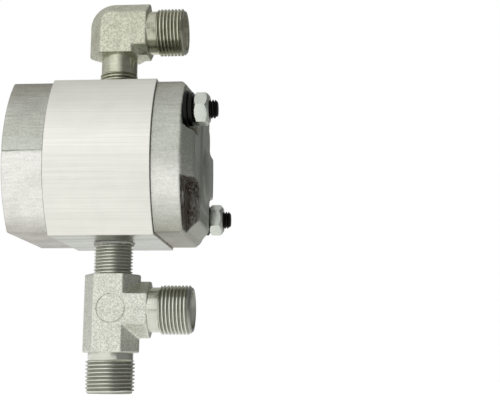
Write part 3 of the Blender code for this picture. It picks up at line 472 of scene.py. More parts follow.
def body_section(sizes, inset, corner, drop=0.0, steps=40, corner_steps=3):
    """The pump's section in (Y, Z): two flats joined by two shallow arcs, drawn in by an
    inset, with its four corners rounded. The drop draws the flats in further."""
    rise = sizes.arc_rise
    full = (HALF_HEIGHT ** 2 + rise ** 2) / (2 * rise)
    shift = full - HALF_DEPTH
    radius = full - inset
    corner_height = HALF_HEIGHT - inset - drop - corner
    reach = math.sqrt((radius - corner) ** 2 - corner_height ** 2)
    turn = math.atan2(corner_height, reach)
    quarter = arc((0, 0), radius, -turn, turn, steps)
    rounding = arc((reach, corner_height), corner, turn, math.pi / 2, corner_steps)
    lower = [(u, -v) for u, v in reversed(rounding)]
    side = lower[:-1] + quarter + rounding[1:]
    far = [(MID_Y - shift + u, v) for u, v in side]
    near = [(MID_Y + shift - u, -v) for u, v in side]
    return far + near


def lofted_body(name, sizes, stations, corner):
    """A solid with the pump's section, drawn in by a different inset at each station."""
    rows = []
    for x, inset, *drop in stations:
        outline = body_section(sizes, inset, corner, *drop)
        rows.append([(x, y, z) for y, z in outline + outline[:1]])
    return skin(name, rows)


def stadium(radius, steps=24):
    """Path round both gear chambers in (Y, Z)."""
    far = arc((0, 0), radius, -math.pi / 2, math.pi / 2, steps)
    near = arc((DRIVEN_Y, 0), radius, math.pi / 2, math.pi * 3 / 2, steps)
    return far + near


def seal_groove(name, start, end):
    """The band that a body seal lies in, as a cutter."""
    rows = []
    for radius, x in (
        (GROOVE_OUTER, start), (GROOVE_OUTER, end), (GROOVE_INNER, end), (GROOVE_INNER, start),
    ):
        outline = stadium(radius)
        rows.append([(x, y, z) for y, z in outline + outline[:1]])
    return skin(name, rows + rows[:1], capped=False)


def rod(name, radius, start, end, place, steps=48):
    """A plain round bar along X at a place in (Y, Z), which cuts a hole."""
    profile = [(0, start), (radius, start), (radius, end), (0, end)]
    return turned(name, profile, (0, *place), "x", steps)


def bolt_holes(start, end):
    """Cutters for the four long holes of the studs and the mounting screws."""
    return [
        rod(f"bolt hole {side}", BOLT_HOLE, start, end, place)
        for places in (STUDS, OPEN_HOLES) for side, place in places.items()
    ]


def dowel_holes(joint_x):
    """Cutters for the two blind dowel holes at a joint."""
    return [
        rod(f"dowel hole {side}", DOWEL_HOLE, joint_x - DOWEL_DEPTH, joint_x + DOWEL_DEPTH,
            (MID_Y, z), 24)
        for side, z in (("upper", DOWEL_Z), ("lower", -DOWEL_Z))
    ]


class PUMP_OT_housing(bpy.types.Operator):
    """Build the extruded housing with its gear chambers and two ports"""

    bl_idname = "pump.housing"
    bl_label = "Housing"

    def execute(self, context):
        sizes = context.scene.pump_body
        fittings = context.scene.pump_fittings
        edge = 0.00025
        start, end = HOUSING_LOW.x, HOUSING_HIGH.x
        housing = lofted_body("housing_extrusion", sizes, [
            (start, edge), (start + edge, 0.0), (end - edge, 0.0), (end, edge),
        ], sizes.corner)
        cutters = [
            rod(f"{name} chamber", CHAMBER_RADIUS, start - OVER, end + OVER, (y, 0), 96)
            for name, y in (("drive", 0), ("driven", DRIVEN_Y))
        ]
        cutters += bolt_holes(start - OVER, end + OVER)
        hole, mouth = fittings.pipe_radius + PORT_FIT, HALF_HEIGHT
        for way in (1, -1):
            profile = [
                (0, mouth + OVER), (hole + PORT_CHAMFER + OVER, mouth + OVER),
                (hole, mouth - PORT_CHAMFER), (hole, mouth - PORT_DEPTH),
                (PASSAGE, mouth - PORT_DEPTH), (PASSAGE, PASSAGE), (0, PASSAGE),
            ]
            profile = [(radius, way * at) for radius, at in profile]
            cutters.append(turned("port", profile, (PORT_X, MID_Y, 0), "z"))
        cutters += dowel_holes(start) + dowel_holes(end)
        cut(housing, *cutters)
        present(clean(housing), "housing_aluminium", ["gear_housing"])
        return {"FINISHED"}


class PUMP_OT_front_cover(bpy.types.Operator):
    """Build the cast front cover with its pilot spigot and parting slot"""

    bl_idname = "pump.front_cover"
    bl_label = "Front cover"

    def execute(self, context):
        sizes = context.scene.pump_body
        inset, rim, end = sizes.cover_inset, sizes.front_rim, FRONT_HIGH.x
        edge = 0.0003
        stations = []
        for i in reversed(range(5)):
            turn = math.pi / 2 * i / 4
            stations.append((rim * (1 - math.sin(turn)), inset + rim * (1 - math.cos(turn))))
        stations += [(end - edge, inset), (end, inset + edge)]
        cover = lofted_body("front_cover_casting", sizes, stations, COVER_CORNER)
        spigot = [
            (0, 0.005), (PILOT_RADIUS, 0.005), (PILOT_RADIUS, PILOT_GROOVE_START),
            (PILOT_GROOVE, PILOT_GROOVE_START), (PILOT_GROOVE, PILOT_GROOVE_END),
            (PILOT_RADIUS, PILOT_GROOVE_END), (PILOT_RADIUS, PILOT_CHAMFER - PILOT_LENGTH),
            (PILOT_RADIUS - PILOT_CHAMFER, -PILOT_LENGTH), (0, -PILOT_LENGTH),
        ]
        join(cover, turned("pilot spigot", spigot, (0, 0, 0)))
        ring_end, ring_start = RING_HIGH.x + edge, RING_LOW.x - edge
        seat = [
            (0, end + OVER), (SHAFT_HOLE, end + OVER), (SHAFT_HOLE, SEAL_SEAT_END),
            (SEAL_SEAT, SEAL_SEAT_END), (SEAL_SEAT, ring_end), (CLIP_SEAT, ring_end),
            (CLIP_SEAT, ring_start), (SEAL_SEAT, ring_start), (SEAL_SEAT, -0.0054),
            (CLIP_SEAT, -0.0066), (CLIP_SEAT, -PILOT_LENGTH - OVER), (0, -PILOT_LENGTH - OVER),
        ]
        cutters = [turned("seal seat", seat, (0, 0, 0))]
        for side, place in OPEN_HOLES.items():
            cutters.append(rod(f"screw hole {side}", BOLT_HOLE, -OVER, end + OVER, place))
        for side, place in STUDS.items():
            cutters.append(rod(f"stud hole {side}", STUD_HOLE, STUD_HOLE_START, end + OVER, place))
        cutters.append(seal_groove("front seal groove", end - GROOVE_DEPTH, end + OVER))
        cutters += dowel_holes(end)
        cut(cover, *cutters)
        cut(cover, self.parting_slot(sizes, end))
        present(clean(cover), "cover_casting", ["front_cover"])
        return {"FINISHED"}

    def parting_slot(self, sizes, end):
        """A wedge-shaped cutter along the near side, where the two mould halves met."""
        surface = MID_Y - HALF_DEPTH + sizes.cover_inset
        top = 0.0004
        rows = []
        for x, height, depth in (
            (-OVER, sizes.slot_height, 0.0009), (0.003, sizes.slot_height * 0.8, 0.0009),
            (0.0075, 0.0005, 0.0005), (end + OVER, 0.00022, 0.0002),
        ):
            corners = [
                (surface - OVER, top), (surface + depth, top),
                (surface + depth, top - height), (surface - OVER, top - height),
            ]
            rows.append([(x, y, z) for y, z in corners + corners[:1]])
        return skin("parting slot", rows)


class PUMP_OT_rear_cover(bpy.types.Operator):
    """Build the cast rear cover with its slope, nut pockets and screw pockets"""

    bl_idname = "pump.rear_cover"
    bl_label = "Rear cover"

    def execute(self, context):
        sizes = context.scene.pump_body
        start, seat = REAR_LOW.x, sizes.seat
        plane = seat + sizes.shoulder
        inset, slope, drop = sizes.cover_inset, sizes.shoulder, sizes.flat_slope
        stations = [
            (start - OVER, inset, 0.0), (seat - drop, inset, 0.0),
            (seat - 0.0008, inset, drop - 0.0008), (seat - 0.0002, inset + 0.0002, drop - 0.0004),
            (seat + 0.0006, inset + 0.0008, drop), (plane - 0.0008, inset + slope - 0.0010, drop),
            (plane - 0.0002, inset + slope - 0.0002, drop),
            (plane, inset + slope + 0.0005, drop),
        ]
        cover = lofted_body("rear_cover_casting", sizes, stations, COVER_CORNER)
        radius, top = sizes.boss_radius, REAR_HIGH.x + sizes.boss_height
        dome = [(0, plane - OVER), (radius, plane - OVER), (radius, REAR_HIGH.x)]
        dome += [
            (radius * math.cos(turn), REAR_HIGH.x + sizes.boss_height * math.sin(turn))
            for turn in (math.pi / 2 * i / 12 for i in range(1, 12))
        ]
        dome.append((0, top))
        join(
            cover, extrude("rear pad", self.rounded_pad(sizes), plane - OVER, REAR_HIGH.x),
            turned("rear boss", dome, (0, MID_Y, -sizes.boss_drop)),
        )
        beyond = top + OVER
        cutters = [
            rod(f"nut pocket {side}", sizes.nut_pocket, seat, beyond, place, 64)
            for side, place in STUDS.items()
        ]
        for side, place in OPEN_HOLES.items():
            outline = self.screw_pocket(sizes, place)
            cutters.append(extrude(f"screw pocket {side}", outline, seat, beyond))
        cut(cover, *cutters)
        soften(cover, sizes.grain, 7, 0.6)
        before = start - 2 * OVER
        ends = (before, MID_Y - 0.1, -0.1), (start, MID_Y + 0.1, 0.1)
        cutters = [block("joint face", *ends)]
        cutters += bolt_holes(before, beyond)
        cutters.append(seal_groove("rear seal groove", before, start + GROOVE_DEPTH))
        cutters += dowel_holes(start)
        cut(cover, *cutters)
        present(clean(cover), "cover_casting", ["rear_cover"])
        return {"FINISHED"}

    def rounded_pad(self, sizes, corner=0.006):
        """Outline of the low pad on the rear face."""
        points = []
        for quarter, (su, sv) in enumerate(((1, 1), (-1, 1), (-1, -1), (1, -1))):
            centre = (
                MID_Y + su * (sizes.pad_width - corner), sv * (sizes.pad_height - corner)
            )
            turn = quarter * math.pi / 2
            points += arc(centre, corner, turn, turn + math.pi / 2, 8)
        return points

    def screw_pocket(self, sizes, place, reach=0.03):
        """Outline of an open corner pocket with one rounded inner corner."""
        y, z = place
        out_y = -1 if y < MID_Y else 1
        out_z = -1 if z < 0 else 1
        corner = sizes.pocket_corner
        inner_y = y - out_y * sizes.pocket_depth
        inner_z = z - out_z * sizes.pocket_height
        bend = [
            (inner_y + out_y * corner * (1 - math.cos(turn)),
             inner_z + out_z * corner * (1 - math.sin(turn)))
            for turn in (math.pi / 2 * i / 10 for i in range(11))
        ]
        edge_y, edge_z = y + out_y * reach, z + out_z * reach
        return [(inner_y, edge_z)] + bend + [(edge_y, inner_z), (edge_y, edge_z)]


def forged_section(half, flat, depth, land):
    """Section of a forged bar: two flats, and sides that slope out to a narrow land."""
    return [
        (half, -land), (half, land), (flat, depth), (-flat, depth),
        (-half, land), (-half, -land), (-flat, -depth), (flat, -depth),
    ]


def swapped(outline):
    """The same outline with its two directions exchanged."""
    return [(v, u) for u, v in reversed(outline)]


def union_end(sizes, tip, length):
    """Profile of a male union end with its neck and screw thread, along its own axis."""
    way = 1 if tip > 0 else -1
    neck, radius = sizes.union_neck, sizes.union_radius
    start = tip - way * (length + (radius - neck) / 2)
    rows = thread(start, tip, radius, sizes.union_pitch, neck, sizes.union_tip)
    return [(0, 0), (neck, 0)] + rows + [(0, tip)]


def union_bore(sizes, tip, depth):
    """Profile of the cutter for a union end's sealing cone and bore."""
    way = 1 if tip > 0 else -1
    mouth, lead = sizes.cone_mouth, 0.0004
    return [
        (0, tip + way * OVER), (mouth + lead + OVER, tip + way * OVER),
        (mouth, tip - way * lead),
        (sizes.cone_seat, tip - way * sizes.cone_length),
        (sizes.union_bore, tip - way * sizes.cone_length), (sizes.union_bore, depth), (0, depth),
    ]


class PUMP_OT_elbow(bpy.types.Operator):
    """Build the forged elbow with its pipe thread and union thread"""

    bl_idname = "pump.elbow"
    bl_label = "Elbow"

    def execute(self, context):
        sizes = context.scene.pump_fittings
        centre = (PORT_X, MID_Y, HALF_HEIGHT + sizes.elbow_centre)
        half, depth, land = sizes.elbow_half, sizes.elbow_depth, sizes.elbow_land
        section = forged_section(half, sizes.elbow_flat, depth, land)
        corner = sizes.elbow_corner
        middle = half - corner
        elbow = extrude("elbow_forging", section, -half - OVER, middle, centre, "z")
        arm_section = [
            (u, v - sizes.elbow_under if v < -land else v) for u, v in swapped(section)
        ]
        arm = extrude("arm", arm_section, -middle, sizes.elbow_arm + OVER, centre, "x")
        rim = corner - half + sizes.elbow_flat
        disc = [(0, depth), (rim, depth), (corner, land), (corner, -land), (rim, -depth),
                (0, -depth)]
        bend = turned("bend", disc, (centre[0] - middle, centre[1], centre[2] + middle), "y")
        join(elbow, arm, bend)
        trim(elbow, block(
            "ends",
            (centre[0] - 0.05, centre[1] - 0.05, centre[2] - sizes.elbow_leg),
            (centre[0] + sizes.elbow_arm, centre[1] + 0.05, centre[2] + 0.05),
        ))
        soften(elbow, sizes.grain, 6)
        tip = -sizes.elbow_centre - PIPE_REACH
        neck = sizes.elbow_neck
        neck_end = -sizes.elbow_leg - sizes.elbow_neck_length
        leg = [(0, -0.006), (neck, -0.006)]
        leg += thread(neck_end, tip, sizes.pipe_radius, sizes.pipe_pitch, neck, PIPE_TIP)
        leg.append((0, tip))
        tip_x = ELBOW_HIGH.x - centre[0]
        end = union_end(sizes, tip_x, sizes.elbow_thread)
        join(elbow, turned("leg end", leg, centre, "z"), turned("arm end", end, centre, "x"))
        bore = [(0, tip - OVER), (sizes.pipe_bore, tip - OVER), (sizes.pipe_bore, 0), (0, 0)]
        cut(
            elbow, turned("leg bore", bore, centre, "z", 64),
            turned("arm bore", union_bore(sizes, tip_x, -sizes.union_bore), centre, "x"),
        )
        present(clean(elbow), "fitting_zinc", ["elbow_fitting"], "tarnished zinc elbow")
        return {"FINISHED"}


class PUMP_OT_tee(bpy.types.Operator):
    """Build the forged tee with its pipe thread and two union threads"""

    bl_idname = "pump.tee"
    bl_label = "Tee"

    def execute(self, context):
        sizes = context.scene.pump_fittings
        centre = (PORT_X, MID_Y, -HALF_HEIGHT - sizes.tee_centre)
        section = forged_section(sizes.tee_half, sizes.tee_flat, sizes.tee_depth, sizes.tee_land)
        tee = extrude("tee_forging", section, -sizes.tee_down, sizes.tee_up, centre, "z")
        join(tee, extrude("arm", swapped(section), 0, sizes.tee_arm, centre, "x"))
        soften(tee, sizes.grain, 6)
        tip = sizes.tee_centre + PIPE_REACH
        foot = sizes.pipe_radius - 0.0005
        pipe = [(0, 0), (foot, 0)]
        pipe += thread(
            sizes.tee_up - 0.0004, tip, sizes.pipe_radius, sizes.pipe_pitch, foot, PIPE_TIP
        )
        pipe.append((0, tip))
        down = TEE_LOW.z - centre[2]
        across = TEE_HIGH.x - centre[0]
        lower = union_end(sizes, down, sizes.tee_lower_thread)
        side = union_end(sizes, across, sizes.tee_arm_thread)
        join(
            tee, turned("pipe end", pipe, centre, "z"), turned("lower end", lower, centre, "z"),
            turned("arm end", side, centre, "x"),
        )
        bore = [(0, -sizes.pipe_bore), (sizes.pipe_bore, -sizes.pipe_bore),
                (sizes.pipe_bore, tip + OVER), (0, tip + OVER)]
        cut(
            tee, turned("pipe bore", bore, centre, "z", 64),
            turned("lower bore", union_bore(sizes, down, -sizes.pipe_bore), centre, "z"),
            turned("arm bore", union_bore(sizes, across, 0), centre, "x"),
            self.ring_mark(sizes, centre),
        )
        present(clean(tee), "fitting_zinc", ["tee_fitting"])
        return {"FINISHED"}

    def ring_mark(self, sizes, centre):
        """Cutter for the bare ring pressed into the front flat."""
        radius, half, depth = sizes.mark_radius, sizes.mark_width / 2, 0.0007
        profile = [(radius - half, -0.001), (radius + half, -0.001),
                   (radius + half / 3, depth), (radius - half / 3, depth)]
        at = (centre[0] + 0.0018, centre[1] - sizes.tee_depth, centre[2] + 0.0002)
        return turned("ring mark", profile, at, "y", ring=True)


class PUMP_OT_clamps(bpy.types.Operator):
    """Build the two clamp studs with their washers, spring washers and nuts"""

    bl_idname = "pump.clamps"
    bl_label = "Clamp studs and nuts"

    def execute(self, context):
        sizes = context.scene.pump_fasteners
        for side, turn in (("near", 0.0), ("far", math.pi / 6)):
            place = (0, *STUDS[side])
            stud = clean(self.stud(sizes, side, place))
            present(stud, "black_steel", [f"clamp_stud_{side}"])
            washer = clean(self.washer(side, place))
            present(washer, "black_steel", [f"clamp_washer_{side}"])
            spring = clean(self.spring_washer(sizes, side, place))
            present(spring, "black_steel", [f"spring_washer_{side}"])
            nut = clean(self.nut(sizes, side, place, turn), 30.0)
            present(nut, "zinc_nut", [f"clamp_nut_{side}"])
        return {"FINISHED"}

    def stud(self, sizes, side, place):
        """A stud with a screw thread over its last 18 mm."""
        low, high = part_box(f"clamp_stud_{side}")
        radius, tip, chamfer = sizes.stud_radius, high.x - 0.0007, 0.001
        threaded = tip - 0.018
        profile = [
            (0, low.x), (radius - chamfer, low.x), (radius, low.x + chamfer),
            (radius, tip - 0.019), (radius - chamfer, threaded),
        ]
        profile += thread(
            threaded, tip - 0.0002, radius, sizes.stud_pitch, radius - chamfer,
            radius - 0.0011, 72,
        )
        profile += [(radius - 0.0014, tip), (0, tip)]
        return turned(f"stud_{side}", profile, place, "x", 72)

    def washer(self, side, place):
        """A flat washer with rounded outer edges."""
        low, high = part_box(f"clamp_washer_{side}")
        start, end, outer = low.x, high.x, (high.y - low.y) / 2
        inner, edge = WASHER_BORE, 0.00025
        profile = [
            (inner, end), (outer - edge, end), (outer, end - edge), (outer, start + edge),
            (outer - edge, start), (inner, start),
        ]
        return turned(f"washer_{side}", profile, place, "x", 72, ring=True)

    def spring_washer(self, sizes, side, place):
        """A square-section ring with a slanted slot, pressed flat."""
        low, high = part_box(f"spring_washer_{side}")
        outer, inner, edge, mean_radius = SPRING_RADIUS, WASHER_BORE, 0.0002, 0.0072
        middle = (low.x + high.x) / 2
        half = (high.x - low.x) / 2
        section = [
            (inner, -half), (outer - edge, -half), (outer, edge - half), (outer, half - edge),
            (outer - edge, half), (inner, half),
        ]
        opening = sizes.slot / mean_radius
        rows = []
        for i in range(73):
            turn = opening / 2 + (math.tau - opening) * i / 72
            row = [
                lay("x", place, radius, turn + 0.7 * at / radius, middle + at)
                for radius, at in section + section[:1]
            ]
            rows.append(row)
        return skin(f"spring_washer_{side}", rows)

    def nut(self, sizes, side, place, turn):
        """A hexagon nut, chamfered at both ends and threaded."""
        low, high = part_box(f"clamp_nut_{side}")
        radius = sizes.nut_across / math.sqrt(3)
        corners = [
            (place[1] + radius * math.cos(turn + math.tau * i / 6),
             place[2] + radius * math.sin(turn + math.tau * i / 6))
            for i in range(6)
        ]
        nut = extrude(f"nut_{side}", corners, low.x, high.x)
        rows = []
        for at, way in ((low.x, 1), (high.x, -1)):
            ends = [(0, at), (sizes.nut_face, at),
                    (radius + 0.0001, at + way * sizes.nut_chamfer)]
            rows += ends if way > 0 else ends[::-1]
        trim(nut, turned("nut chamfer", rows, place))
        round_off = nut.modifiers.new("edges", "BEVEL")
        round_off.width = 0.00022
        round_off.segments = 2
        round_off.limit_method = "ANGLE"
        round_off.angle_limit = math.radians(40)
        settle(nut)
        bore, lead = sizes.stud_radius + 0.00015, 0.0007
        mouth = bore + lead
        cut(nut, turned("nut bore", [
            (0, low.x - OVER), (mouth + OVER, low.x - OVER), (bore, low.x + lead),
            (bore, high.x - lead), (mouth + OVER, high.x + OVER), (0, high.x + OVER),
        ], place, "x", 64))
        return nut


class PUMP_OT_drive_end(bpy.types.Operator):
    """Build the shaft seal, its retaining ring and the spigot's ring seal"""

    bl_idname = "pump.drive_end"
    bl_label = "Drive end"

    def execute(self, context):
        start, back = SEAL_LOW.x, SEAL_HIGH.x
        lip, outer = 0.00915, SEAL_HIGH.y
        seal = clean(turned("lip_seal", [
            (outer, back), (outer, start + 0.0004), (outer - 0.0004, start),
            (outer - 0.0028, start), (outer - 0.0032, start + 0.0005),
            (lip + 0.0026, start + 0.0009), (lip + 0.0016, start + 0.0004),
            (lip + 0.0006, start + 0.0002), (lip, start + 0.0010), (lip, back - 0.0008),
            (lip + 0.0018, back - 0.0008), (lip + 0.0018, start + 0.0018),
            (outer - 0.0022, start + 0.0018), (outer - 0.0022, back),
        ], (0, 0, 0), ring=True))
        present(seal, "rubber", ["shaft_seal"])
        middle = (O_RING_LOW.x + O_RING_HIGH.x) / 2
        small = (O_RING_HIGH.x - O_RING_LOW.x) / 2
        large = O_RING_HIGH.y - small
        ring = clean(turned("spigot_ring_seal", [
            (large + small * math.cos(turn), middle + small * math.sin(turn))
            for turn in (math.tau * i / 16 for i in range(16))
        ], (0, 0, 0), ring=True), 60.0)
        present(ring, "rubber", ["pilot_o_ring"])
        present(clean(self.retaining_ring()), "spring_steel", ["seal_retaining_ring"])
        return {"FINISHED"}

    def retaining_ring(self):
        """Inside retaining ring: it narrows towards its gap and ends in two eyes."""
        start, end = RING_LOW.x, RING_HIGH.x
        outer, eye_circle, eye_radius = 0.01705, 0.01515, 0.0008
        low, high = math.radians(14), math.radians(346)
        outside, inside = [], []
        steps = 64
        for i in range(steps + 1):
            turn = low + (high - low) * i / steps
            width = 0.0018 + 0.0012 * math.sin(math.pi * i / steps)
            nearest = min(i, steps - i)
            if nearest <= 3:
                width = 0.0040 - 0.0003 * nearest
            outside.append((outer * math.cos(turn), outer * math.sin(turn)))
            inside.append(((outer - width) * math.cos(turn), (outer - width) * math.sin(turn)))
        ring = extrude("retaining_ring", outside + inside[::-1], start, end)
        eyes = []
        for turn in (low + 0.10, high - 0.10):
            place = (eye_circle * math.cos(turn), eye_circle * math.sin(turn))
            eyes.append(rod("ring eye", eye_radius, start - OVER, end + OVER, place, 20))
        return cut(ring, *eyes)


class PUMP_OT_sealant(bpy.types.Operator):
    """Lay the ragged white sealant that has squeezed out above the tee"""

    bl_idname = "pump.sealant"
    bl_label = "Thread sealant"

    def execute(self, context):
        sizes = context.scene.pump_fittings
        chance = random.Random(7)
        rows = []
        steps = 120
        for i in range(steps + 1):
            share_round = i / steps
            turn = math.radians(-205) + math.radians(330) * share_round
            ragged = 0.0006 * chance.random() + 0.0005 * math.sin(9 * share_round)
            fade = min(1.0, 8 * share_round, 8 * (1 - share_round))
            height = max(0.0002, (0.0011 + ragged) * fade)
            thick = max(0.00015, (0.0005 + 0.0003 * chance.random()) * fade)
            top = -HALF_HEIGHT - 0.0002
            radius = sizes.pipe_radius - 0.0002
            section = [
                (radius, top), (radius + thick * 1.3, top), (radius + thick, top - height / 2),
                (radius + thick * 0.4, top - height), (radius, top - height),
            ]
            rows.append([
                lay("z", (PORT_X, MID_Y, 0), r, turn, at) for r, at in section + section[:1]
            ])
        sealant = clean(skin("thread_sealant", rows), 50.0)
        present(sealant, "fitting_zinc", finish="white thread sealant")
        return {"FINISHED"}


def add_node(tree, kind, inputs=(), **settings):
    """Add one node and give its first shown output. Inputs go by name, or in the order in
    which the node shows its sockets. Each is a value or another node's output."""
    node = tree.nodes.new(kind)
    for name, value in settings.items():
        setattr(node, name, value)
    if not isinstance(inputs, dict):
        shown = [number for number, socket in enumerate(node.inputs) if socket.enabled]
        inputs = dict(zip(shown, inputs))
    for name, value in inputs.items():
        socket = node.inputs[name]
        if isinstance(value, bpy.types.NodeSocket):
            tree.links.new(value, socket)
        elif isinstance(socket, bpy.types.NodeSocketColor):
            socket.default_value = (*value, 1.0)
        else:
            socket.default_value = value
    return next(socket for socket in node.outputs if socket.enabled)


def traced_rays(tree):
    """Light Path's outputs, and one that is 1 for a ray that was mirrored or went through."""
    path = add_node(tree, LIGHT_PATH).node.outputs
    traced = add_node(tree, MATH, [path["Is Glossy Ray"], path["Is Transmission Ray"]],
                      operation="MAXIMUM")
    return path, traced


def new_finish(name, metallic, roughness):
    """An empty finish: its material, node tree, shader sockets and coordinates."""
    finish = bpy.data.materials.new(name)
    finish.use_nodes = True
    tree = finish.node_tree
    shader = tree.nodes["Principled BSDF"].inputs
    shader["Metallic"].default_value = metallic
    shader["Roughness"].default_value = roughness
    return finish, tree, shader, add_node(tree, COORDS).node.outputs


def per_metre(size_mm):
    """How often a pattern of a given size in millimetres repeats in a metre."""
    return 1000.0 / size_mm


def extruded_aluminium(name):
    """Extruded aluminium, satin, with fine die lines along its length and milled ends on top
    and below. It looks pale and silky, and the milled port faces show glossy streaks."""
    colours = bpy.context.scene.pump_colours
    finish, tree, shader, coords = new_finish(name, 1.0, 0.38)
    place = coords["Object"]
    # Die lines: 0.45 mm apart round the section, and 70 mm long along the shaft.
    lines_at = add_node(tree, VECTOR, [place, (14.0, 2200.0, 2200.0)], operation="MULTIPLY")
    lines = add_node(tree, NOISE, {"Vector": lines_at, "Scale": 1.0, "Detail": 3.0})
    # Handling marks and thin oil: patches of 14 mm.
    patches = add_node(tree, NOISE, {
        "Vector": place, "Scale": per_metre(14), "Detail": 4.0, "Roughness": 0.6,
    })
    # Milling streaks on the port faces: 0.7 mm apart, running along the shaft.
    streaks_at = add_node(tree, VECTOR, [place, (30.0, 1400.0, 10.0)], operation="MULTIPLY")
    streaks = add_node(tree, NOISE, {"Vector": streaks_at, "Scale": 1.0, "Detail": 2.0})
    up = add_node(tree, SPLIT, [coords["Normal"]]).node.outputs["Z"]
    up = add_node(tree, MATH, [up], operation="ABSOLUTE")
    is_port = add_node(tree, RANGE, [up, 0.96, 0.99])
    tone = add_node(tree, RANGE, [lines, 0.35, 0.68, 0.92, 1.0])
    worn = add_node(tree, RANGE, [patches, 0.3, 0.7, 0.95, 1.0])
    shade = add_node(tree, MATH, [tone, worn], operation="MULTIPLY")
    milled = add_node(tree, RANGE, [streaks, 0.35, 0.65, 0.72, 1.05])
    side = add_node(tree, VECTOR, [colours.housing, shade], operation="SCALE")
    face = add_node(tree, VECTOR, [colours.port_face, milled], operation="SCALE")
    both = add_node(tree, MIX, [is_port, side, face], data_type="RGBA")
    tree.links.new(both, shader["Base Color"])
    gloss = add_node(tree, RANGE, [lines, 0.3, 0.7, 0.46, 0.34])
    gloss_face = add_node(tree, RANGE, [streaks, 0.35, 0.65, 0.42, 0.22])
    rough = add_node(tree, MIX, [is_port, gloss, gloss_face])
    tree.links.new(rough, shader["Roughness"])
    bump = add_node(tree, BUMP, {"Height": lines, "Strength": 0.35, "Distance": 0.00006})
    tree.links.new(bump, shader["Normal"])
    return finish


